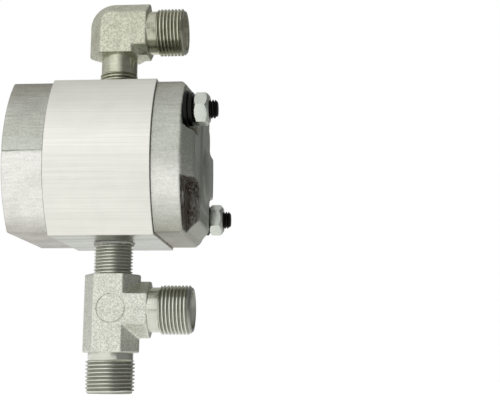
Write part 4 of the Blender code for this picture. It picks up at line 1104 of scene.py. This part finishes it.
def cast_aluminium(name):
    """Cast aluminium, blasted, with oil patches and a fine sparkling grain. It has painted light
    on the front cover's lower half and along the rear cover's side, painted shade on faces that
    look up, down and back, and dark dirt in the screw pockets."""
    colours = bpy.context.scene.pump_colours
    finish, tree, shader, coords = new_finish(name, 1.0, 0.46)
    place = coords["Object"]
    # Blasted grain: 0.9 mm, drawn a little coarser than the real 0.5 mm so that it shows.
    grain = add_node(tree, NOISE, {
        "Vector": place, "Scale": per_metre(0.9), "Detail": 3.0, "Roughness": 0.65,
    })
    # Flow marks of the casting: 2.2 mm across and 11 mm along the shaft.
    flow_at = add_node(tree, VECTOR, [place, (0.2, 1.0, 1.0)], operation="MULTIPLY")
    flow = add_node(tree, NOISE, {
        "Vector": flow_at, "Scale": per_metre(2.2), "Detail": 3.0, "Distortion": 0.6,
    })
    # Oil film: patches of 22 mm.
    film = add_node(tree, NOISE, {
        "Vector": place, "Scale": per_metre(22), "Detail": 4.0, "Roughness": 0.6,
    })
    where = add_node(tree, SPLIT, [place]).node.outputs
    facing = add_node(tree, SPLIT, [coords["Normal"]]).node.outputs
    # Painted shade: faces that look up, faces that look down and the covers' lowest part are
    # painted darker, and patches of oil film add to that.
    level = add_node(tree, RANGE, [facing["Z"], 0.3, 0.8, 0.0, 0.7])
    for value, near, far, most in (
        (facing["Z"], -0.85, -0.97, 0.6), (where["Z"], -0.032, -0.0427, 0.5),
    ):
        lower = add_node(tree, RANGE, [value, near, far, 0.0, most])
        level = add_node(tree, MATH, [level, lower], operation="MAXIMUM")
    oil = add_node(tree, RANGE, [film, 0.35, 0.7, -0.1, 0.2])
    shade_and_oil = add_node(tree, MATH, [level, oil], operation="ADD", use_clamp=True)
    # Painted light: the front cover's lower half is painted paler, up to the parting line.
    lower = add_node(tree, RANGE, [where["Z"], 0.0004, -0.0012])
    in_front = add_node(tree, RANGE, [where["X"], 0.0231, 0.0229])
    pale = add_node(tree, MATH, [lower, in_front], operation="MULTIPLY")
    # The painted light is kept off faces that look along the shaft, such as the mounting face.
    endward = add_node(tree, MATH, [facing["X"]], operation="ABSOLUTE")
    sideways = add_node(tree, RANGE, [endward, 0.75, 0.35])
    # Painted reflection: a soft strip along the rear cover's side, below the shafts, is painted
    # brighter.
    painted_reflection = 1.0
    for axis, near, far in (("Z", 0.0, -0.014), ("Z", -0.034, -0.021), ("X", 0.0785, 0.0795)):
        edge = add_node(tree, RANGE, [where[axis], near, far])
        painted_reflection = add_node(tree, MATH, [edge, painted_reflection], operation="MULTIPLY")
    pale = add_node(tree, MATH, [pale, painted_reflection], operation="MAXIMUM")
    pale = add_node(tree, MATH, [pale, sideways], operation="MULTIPLY")
    # The painted light is mixed into the casting colour here.
    halves = add_node(tree, MIX, [pale, colours.casting, colours.casting_painted_light],
                      data_type="RGBA")
    shaded_and_oiled = add_node(tree, MIX, [shade_and_oil, halves, colours.casting_shade_oil], data_type="RGBA")
    # Painted shade: faces that look back, past the nut seats, are painted darker with the rear
    # face colour.
    rearward = add_node(tree, RANGE, [facing["X"], 0.3, 0.7, 0.0, 0.8])
    behind = add_node(tree, RANGE, [where["X"], 0.093, 0.096])
    dull = add_node(tree, MATH, [rearward, behind], operation="MULTIPLY")
    dulled = add_node(tree, MIX, [dull, shaded_and_oiled, colours.shoulder], data_type="RGBA")
    pocket = dirty_pockets(tree, where, film)
    # Bright scrapes in the pockets: 2 mm apart and 7 mm long, wider than the real ones.
    scrapes_at = add_node(tree, VECTOR, [place, (500.0, 500.0, 140.0)], operation="MULTIPLY")
    scrapes = add_node(tree, NOISE, {
        "Vector": scrapes_at, "Scale": 1.0, "Detail": 4.0, "Distortion": 2.0,
    })
    scraped = add_node(tree, RANGE, [scrapes, 0.48, 0.66, 0.0, 0.75])
    rusty = add_node(tree, RANGE, [grain, 0.42, 0.62])
    dirt = add_node(tree, MIX, [rusty, colours.soot, colours.rust], data_type="RGBA")
    dirt = add_node(tree, MIX, [scraped, dirt, colours.shoulder], data_type="RGBA")
    soiled = add_node(tree, MIX, [pocket, dulled, dirt], data_type="RGBA")
    sparkle = add_node(tree, RANGE, [grain, 0.35, 0.68, 0.91, 1.04])
    # Rubbed streaks along the shaft: 1.1 mm apart and 12 mm long.
    rubbed_at = add_node(tree, VECTOR, [place, (80.0, 900.0, 900.0)], operation="MULTIPLY")
    rubbed = add_node(tree, NOISE, {
        "Vector": rubbed_at, "Scale": 1.0, "Detail": 3.0, "Roughness": 0.6,
    })
    streak = add_node(tree, RANGE, [rubbed, 0.32, 0.62, 0.93, 1.03])
    mottled = add_node(tree, MATH, [sparkle, streak], operation="MULTIPLY")
    tone = add_node(tree, VECTOR, [soiled, mottled], operation="SCALE")
    tree.links.new(tone, shader["Base Color"])
    rough = add_node(tree, RANGE, [grain, 0.3, 0.7, 0.58, 0.36])
    rough = add_node(tree, MIX, [pocket, rough, 0.75])
    tree.links.new(rough, shader["Roughness"])
    metal = add_node(tree, MIX, [pocket, 1.0, 0.25])
    tree.links.new(metal, shader["Metallic"])
    waves = add_node(tree, BUMP, {"Height": flow, "Strength": 0.5, "Distance": 0.0008})
    bump = add_node(tree, BUMP, {
        "Height": grain, "Strength": 0.6, "Distance": 0.00016, "Normal": waves,
    })
    tree.links.new(bump, shader["Normal"])
    return finish


def dirty_pockets(tree, where, film):
    """How far a point lies in the dirt of a screw pocket: the near lower one or the far
    upper one, past the seats. The oil film makes the dirt's edge ragged."""
    sizes = bpy.context.scene.pump_body
    bend = sizes.pocket_corner
    off_y = add_node(tree, MATH, [where["Y"], MID_Y], operation="SUBTRACT")
    same = add_node(tree, MATH, [off_y, where["Z"]], operation="MULTIPLY")
    corner = add_node(tree, MATH, [same, 0.0], operation="GREATER_THAN")
    bolt_y, bolt_z = abs(STUDS["near"][0] - MID_Y), abs(STUDS["near"][1])
    short = []
    for value, centre in (
        (off_y, bolt_y - sizes.pocket_depth + bend),
        (where["Z"], bolt_z - sizes.pocket_height + bend),
    ):
        wide = add_node(tree, MATH, [value], operation="ABSOLUTE")
        gap = add_node(tree, MATH, [centre, wide], operation="SUBTRACT")
        short.append(add_node(tree, MATH, [gap, 0.0], operation="MAXIMUM"))
    reach = add_node(tree, VECTOR, [add_node(tree, JOIN, short)], operation="LENGTH")
    ragged = add_node(tree, MATH, [film, 0.003, reach], operation="MULTIPLY_ADD")
    inside = add_node(tree, RANGE, [ragged, bend + 0.0026, bend + 0.0016])
    past = add_node(tree, RANGE, [where["X"], 0.0945, 0.0951])
    pocket = add_node(tree, MATH, [corner, inside], operation="MULTIPLY")
    return add_node(tree, MATH, [pocket, past], operation="MULTIPLY")


def zinc_forging(name, base, axes, stain, grimy):
    """Forged steel, zinc plated. It is pebbled on the forged flats, bright and ringed where
    it was turned, as grimy in its thread roots as given, and the more stained the browner.
    Each axis is (direction, centre, turning's start, thread's start, tip, root, crest)."""
    colours = bpy.context.scene.pump_colours
    finish, tree, shader, coords = new_finish(name, 1.0, 0.36)
    place = coords["Object"]
    # Forging scale: 0.8 mm pebbles under the plating.
    pebbles = add_node(tree, NOISE, {
        "Vector": place, "Scale": per_metre(0.8), "Detail": 2.0, "Roughness": 0.6,
    })
    # Tarnish and stain: cloudy patches of 7 mm with smaller ones in them.
    cloud = add_node(tree, NOISE, {
        "Vector": place, "Scale": per_metre(7), "Detail": 5.0, "Roughness": 0.65,
    })
    where = add_node(tree, SPLIT, [place]).node.outputs
    machined, grime, tooling = 0.0, 0.0, 0.0
    for along, centre, start, thread_start, tip, root, crest in axes:
        fade = math.copysign(0.0003, tip - start)
        flat = {"x": (0.0, 1.0, 1.0), "z": (1.0, 1.0, 0.0)}[along]
        away = add_node(tree, VECTOR, [place, centre], operation="SUBTRACT")
        away = add_node(tree, VECTOR, [away, flat], operation="MULTIPLY")
        radius = add_node(tree, VECTOR, [away], operation="LENGTH")
        at = where[along.upper()]
        zone = add_node(tree, RANGE, [at, start, start + fade])
        threaded = add_node(tree, RANGE, [at, thread_start - fade, thread_start + fade])
        height = crest - root
        low = add_node(tree, RANGE, [
            radius, root + height * 0.1, root + height * 0.6, grimy, 0.0,
        ])
        dirt = add_node(tree, MATH, [threaded, low], operation="MULTIPLY")
        # Turning marks: rings 0.6 mm apart, coarser than the real 0.2 mm so that they show.
        rings = add_node(tree, NOISE, {"W": at, "Scale": per_metre(0.6)}, noise_dimensions="1D")
        rings = add_node(tree, MATH, [rings, zone], operation="MULTIPLY")
        machined, grime, tooling = (
            add_node(tree, MATH, pair, operation="MAXIMUM")
            for pair in ((machined, zone), (grime, dirt), (tooling, rings))
        )
    speckle = add_node(tree, RANGE, [pebbles, 0.38, 0.62, 0.76, 1.16])
    ringed = add_node(tree, RANGE, [tooling, 0.3, 0.7, 0.86, 1.04])
    tone = add_node(tree, MIX, [machined, speckle, ringed])
    plated = add_node(tree, VECTOR, [base, tone], operation="SCALE")
    olive = add_node(tree, RANGE, [cloud, 0.42, 0.7, 0.0, stain])
    plated = add_node(tree, MIX, [olive, plated, colours.tarnish], data_type="RGBA")
    brown = add_node(tree, RANGE, [cloud, 0.56, 0.4, 0.0, stain])
    brown = add_node(tree, MATH, [brown, machined], operation="MULTIPLY")
    stained = add_node(tree, MIX, [brown, plated, colours.brown], data_type="RGBA")
    soiled = add_node(tree, MIX, [grime, stained, colours.soot], data_type="RGBA")
    tree.links.new(soiled, shader["Base Color"])
    gloss = add_node(tree, MIX, [machined, 0.42, 0.2])
    rough = add_node(tree, MIX, [grime, gloss, 0.6])
    tree.links.new(rough, shader["Roughness"])
    pebbled = add_node(tree, MIX, [machined, 0.8, 0.1])
    bump = add_node(tree, BUMP, {"Height": pebbles, "Strength": pebbled, "Distance": 0.0002})
    tree.links.new(bump, shader["Normal"])
    return finish


def thread_walls(radius, pitch):
    """Radius of a thread's root and of its crest."""
    return radius - THREAD_DEPTH * pitch, radius


def elbow_zinc(name):
    """The elbow's finish: dull, and brown on its union thread."""
    sizes = bpy.context.scene.pump_fittings
    centre = (PORT_X, MID_Y, HALF_HEIGHT + sizes.elbow_centre)
    bottom = centre[2] - sizes.elbow_leg
    return zinc_forging(name, bpy.context.scene.pump_colours.forging_dull, [
        ("x", centre, PORT_X + sizes.elbow_arm, ELBOW_HIGH.x - sizes.elbow_thread,
         ELBOW_HIGH.x, *thread_walls(sizes.union_radius, sizes.union_pitch)),
        ("z", centre, bottom, bottom - sizes.elbow_neck_length, ELBOW_LOW.z,
         *thread_walls(sizes.pipe_radius, sizes.pipe_pitch)),
    ], stain=0.34, grimy=0.35)


def tee_zinc(name):
    """The tee's finish: brighter, and only lightly stained."""
    sizes = bpy.context.scene.pump_fittings
    centre = (PORT_X, MID_Y, -HALF_HEIGHT - sizes.tee_centre)
    top = centre[2] + sizes.tee_up
    union = thread_walls(sizes.union_radius, sizes.union_pitch)
    return zinc_forging(name, bpy.context.scene.pump_colours.forging, [
        ("x", centre, PORT_X + sizes.tee_arm, TEE_HIGH.x - sizes.tee_arm_thread, TEE_HIGH.x,
         *union),
        ("z", centre, centre[2] - sizes.tee_down, TEE_LOW.z + sizes.tee_lower_thread,
         TEE_LOW.z, *union),
        ("z", centre, top, top, TEE_HIGH.z, *thread_walls(sizes.pipe_radius, sizes.pipe_pitch)),
    ], stain=0.15, grimy=0.4)


def grained_finish(name, base, metallic, tones, gloss, grain_at, grain_mm, strength, depth):
    """A finish of one colour whose grain varies its tone, its gloss and its relief. Tones and
    gloss each say where on the grain they start and end, and what they go from and to."""
    finish, tree, shader, coords = new_finish(name, metallic, gloss[2])
    place = coords["Object"]
    if grain_at:
        place = add_node(tree, VECTOR, [place, grain_at], operation="MULTIPLY")
    grain = add_node(tree, NOISE, {
        "Vector": place, "Scale": per_metre(grain_mm), "Detail": 3.0,
    })
    tone = add_node(tree, RANGE, [grain, *tones])
    shade = add_node(tree, VECTOR, [base, tone], operation="SCALE")
    tree.links.new(shade, shader["Base Color"])
    rough = add_node(tree, RANGE, [grain, *gloss])
    tree.links.new(rough, shader["Roughness"])
    bump = add_node(tree, BUMP, {"Height": grain, "Strength": strength, "Distance": depth})
    tree.links.new(bump, shader["Normal"])
    return finish


def bright_zinc(name):
    """Steel nut in bright zinc plate, pressed hot. It is pale, with 0.9 mm pebbles."""
    return grained_finish(
        name, bpy.context.scene.pump_colours.nut, 1.0, (0.35, 0.65, 0.88, 1.03),
        (0.3, 0.7, 0.26, 0.42), None, 0.9, 0.5, 0.00014,
    )


# Finishes of one colour: the colour's name, metallic, the lowest and highest roughness, the
# grain's size in mm, the depth of its relief and how it is stretched.
EVEN, TURNED = (1, 1, 1), (1, 0.1, 0.1)
PLAIN_FINISHES = {
    # Black oxide on steel, oiled: near black, with a soft sheen and a 0.5 mm grain.
    "black oxide steel": ("black", 0.85, 0.36, 0.52, 0.5, 0.00004, EVEN),
    # Moulded nitrile rubber: black and matt, with a 0.8 mm bloom.
    "moulded nitrile rubber": ("rubber", 0.0, 0.5, 0.68, 0.8, 0.00003, EVEN),
    # Phosphated spring steel: dark grey and dull, with a 0.4 mm crystal grain.
    "phosphated spring steel": ("black", 0.9, 0.4, 0.55, 0.4, 0.00002, EVEN),
    # Hardened and ground steel: bright, with grinding lines 0.3 mm apart round the shaft.
    "ground gear steel": ("steel", 1.0, 0.22, 0.36, 0.3, 0.00001, TURNED),
    # Sintered bronze bearing layer: warm and dull, with 0.4 mm pores.
    "sintered bearing bronze": ("bronze", 1.0, 0.36, 0.5, 0.4, 0.00002, EVEN),
    # Turned aluminium: pale, with tool lines 0.35 mm apart along the shaft.
    "turned aluminium": ("block", 1.0, 0.28, 0.42, 0.35, 0.00002, TURNED),
    # Dried thread sealant: white, waxy and ragged, with 0.6 mm crumbs.
    "white thread sealant": ("sealant", 0.0, 0.45, 0.65, 0.6, 0.0001, EVEN),
}
PATTERNED_FINISHES = {
    "extruded aluminium": extruded_aluminium, "blasted cast aluminium": cast_aluminium,
    "tarnished zinc elbow": elbow_zinc, "tarnished zinc tee": tee_zinc,
    "bright zinc nut": bright_zinc,
}
SLOT_FINISHES = {
    "gear_steel": "ground gear steel", "pin_steel": "ground gear steel",
    "bearing_bronze": "sintered bearing bronze", "block_aluminium": "turned aluminium",
    "rubber": "moulded nitrile rubber", "spring_steel": "phosphated spring steel",
    "black_steel": "black oxide steel", "zinc_nut": "bright zinc nut",
    "housing_aluminium": "extruded aluminium", "cover_casting": "blasted cast aluminium",
    "fitting_zinc": "tarnished zinc tee",
}


def plain_finish(name):
    """One of the finishes of a single colour."""
    colour_name, metallic, low, high, grain_mm, depth, stretch = PLAIN_FINISHES[name]
    base = getattr(bpy.context.scene.pump_colours, colour_name)
    return grained_finish(
        name, base, metallic, (0.3, 0.7, 0.78, 1.08), (0.3, 0.7, low, high), stretch, grain_mm,
        0.4, depth,
    )


def finish_of(name):
    """A finish made once and shared by every piece that needs it."""
    return bpy.data.materials.get(name) or PATTERNED_FINISHES.get(name, plain_finish)(name)


class PUMP_OT_inner_finishes(bpy.types.Operator):
    """Give the CAD nodes that stay as they are their real finishes"""

    bl_idname = "pump.inner_finishes"
    bl_label = "Inner pieces"

    def execute(self, context):
        for subpart in frame["record"]["subparts"]:
            node = frame["nodes"][subpart["node"]]
            node.data.materials.clear()
            node.data.materials.append(finish_of(SLOT_FINISHES[subpart["material_slot"]]))
        return {"FINISHED"}


class PUMP_OT_stage(bpy.types.Operator):
    """Set up the floor, the lamps, the surroundings and the camera"""

    bl_idname = "pump.stage"
    bl_label = "Stage"

    def execute(self, context):
        scene = context.scene
        studio = scene.pump_studio
        scene.view_settings.view_transform = "Standard"
        self.floor(scene, studio)
        self.lamps(scene, studio)
        self.surroundings(scene, studio)
        self.camera(scene, studio)
        return {"FINISHED"}

    def floor(self, scene, studio):
        """A pale floor so large that its edge is never seen."""
        height = CAD_BOX[0][2] - studio.floor_drop
        shape = bmesh.new()
        reach = 30.0
        corners = ((-reach, -reach), (reach, -reach), (reach, reach), (-reach, reach))
        shape.faces.new([shape.verts.new((x, y, height)) for x, y in corners])
        floor = mesh_object("studio_floor", shape)
        finish = bpy.data.materials.new("matt white paper")
        finish.use_nodes = True
        tree = finish.node_tree
        shader = tree.nodes["Principled BSDF"].inputs
        shader["Base Color"].default_value = (*scene.pump_colours.floor, 1.0)
        shader["Roughness"].default_value = 0.9
        shader["Specular IOR Level"].default_value = 0.1
        path, traced = traced_rays(tree)
        # The paper ends in shade at the right, which darkens what faces that way.
        where = add_node(tree, SPLIT, [add_node(tree, COORDS).node.outputs["Object"]])
        where = where.node.outputs
        shaded = add_node(tree, RANGE, [where["X"], 0.08, 0.35, 1.0, 0.1])
        mirrored = add_node(tree, MATH, [traced, shaded], operation="MULTIPLY")
        mirrored = add_node(tree, MATH, [mirrored, studio.mirrored], operation="MULTIPLY")
        # The camera sees paper that is white where it is lit and greyer in the pump's shadow.
        # The lamps fade with distance, and the glow makes up for that.
        across = add_node(tree, MATH, [where["X"], 2.0], operation="POWER")
        along = add_node(tree, MATH, [where["Y"], 2.0], operation="POWER")
        away = add_node(tree, MATH, [across, along], operation="ADD")
        away = add_node(tree, MATH, [away, 0.5], operation="POWER")
        seen = add_node(tree, RANGE, [away, 0.1, 0.8, studio.glow, studio.far_glow])
        lift = add_node(tree, MIX, [path["Is Camera Ray"], mirrored, seen])
        shader["Emission Color"].default_value = (1.0, 1.0, 1.0, 1.0)
        tree.links.new(lift, shader["Emission Strength"])
        floor.data.materials.append(finish)

    def lamps(self, scene, studio):
        """A large lamp at the front left and one above."""
        for name, power, width, height, place, aim in (
            ("key lamp", studio.key, 1.1, 0.8, (-0.55, -1.0, 0.45), (0.05, 0.0, 0.0)),
            ("top lamp", studio.fill, 0.9, 0.9, (0.2, -0.1, 1.2), (0.05, 0.0, 0.0)),
        ):
            data = bpy.data.lights.new(name, "AREA")
            data.shape = "RECTANGLE"
            data.size, data.size_y = width, height
            data.energy = power
            lamp = bpy.data.objects.new(name, data)
            lamp.location = place
            toward = Vector(aim) - Vector(place)
            lamp.rotation_euler = toward.to_track_quat("-Z", "Y").to_euler()
            scene.collection.objects.link(lamp)

    def surroundings(self, scene, studio):
        """White near the horizon, and darker overhead and to the right, so that rounded
        metal shows where it faces."""
        world = bpy.data.worlds.new("soft studio")
        scene.world = world
        world.use_nodes = True
        tree = world.node_tree
        background = tree.nodes["Background"].inputs
        coords = add_node(tree, COORDS).node.outputs
        way = add_node(tree, SPLIT, [coords["Generated"]]).node.outputs
        # Each grading runs between two places on an axis, from one brightness to another.
        graded = 1.0
        for axis, near, far, low, high in (
            ("Z", 0.1, 0.6, 1.08, 0.95), ("Z", 0.8, 0.99, 1.0, 0.5), ("X", 0.0, 0.5, 1.0, 0.2),
            ("X", -0.4, -0.95, 1.0, 0.75), ("Y", 0.0, 0.9, 1.0, 0.5),
        ):
            falling = add_node(tree, RANGE, [way[axis], near, far, low, high])
            graded = add_node(tree, MATH, [falling, graded], operation="MULTIPLY")
        path, traced = traced_rays(tree)
        ambient = add_node(tree, MATH, [graded, studio.world], operation="MULTIPLY")
        shown = add_node(tree, MIX, [traced, ambient, graded])
        level = add_node(tree, MIX, [path["Is Camera Ray"], shown, 1.0])
        background["Color"].default_value = (1.0, 1.0, 1.0, 1.0)
        tree.links.new(level, background["Strength"])

    def camera(self, scene, studio):
        """The camera of the photograph's view."""
        data = bpy.data.cameras.new("camera")
        data.lens = studio.lens
        data.sensor_width = 36.0
        data.clip_start = 0.01
        camera = bpy.data.objects.new("camera", data)
        view = Vector(studio.target) - Vector(studio.camera)
        turn = view.to_track_quat("-Z", "Y").to_matrix().to_4x4()
        camera.matrix_world = (
            Matrix.Translation(Vector(studio.camera)) @ turn
            @ Matrix.Rotation(studio.roll, 4, "Z")
        )
        scene.collection.objects.link(camera)
        scene.camera = camera


GROUPS = (
    ("pump_body", PumpBodySizes), ("pump_fittings", PumpFittingSizes),
    ("pump_fasteners", PumpFastenerSizes), ("pump_colours", PumpColours),
    ("pump_studio", PumpStudioSettings),
)
OPERATORS = (
    PUMP_OT_housing, PUMP_OT_front_cover, PUMP_OT_rear_cover, PUMP_OT_elbow, PUMP_OT_tee,
    PUMP_OT_clamps, PUMP_OT_drive_end, PUMP_OT_sealant, PUMP_OT_inner_finishes, PUMP_OT_stage,
)


class PUMP_PT_sidebar(bpy.types.Panel):
    """Oil pump"""

    bl_idname = "PUMP_PT_sidebar"
    bl_label = "Oil pump"
    bl_space_type = "VIEW_3D"
    bl_region_type = "UI"
    bl_category = "Oil pump"

    def draw(self, context):
        for operator in OPERATORS:
            self.layout.operator(operator.bl_idname)
        for name, group in GROUPS:
            box = self.layout.box()
            box.label(text=group.__doc__.splitlines()[0])
            for prop in group.__annotations__:
                box.prop(getattr(context.scene, name), prop)


def register():
    """Register the settings, the operators and the panel."""
    for name, group in GROUPS:
        bpy.utils.register_class(group)
        setattr(bpy.types.Scene, name, PointerProperty(type=group))
    for operator in OPERATORS:
        bpy.utils.register_class(operator)
    bpy.utils.register_class(PUMP_PT_sidebar)


def unregister():
    """Take them out again."""
    bpy.utils.unregister_class(PUMP_PT_sidebar)
    for operator in reversed(OPERATORS):
        bpy.utils.unregister_class(operator)
    for name, group in reversed(GROUPS):
        delattr(bpy.types.Scene, name)
        bpy.utils.unregister_class(group)


def main():
    """Build the pump and its stage."""
    register()
    bpy.ops.pump.housing()
    bpy.ops.pump.front_cover()
    bpy.ops.pump.rear_cover()
    bpy.ops.pump.elbow()
    bpy.ops.pump.tee()
    bpy.ops.pump.clamps()
    bpy.ops.pump.drive_end()
    bpy.ops.pump.sealant()
    bpy.ops.pump.inner_finishes()
    bpy.ops.pump.stage()


if __name__ == "__main__":
    main()
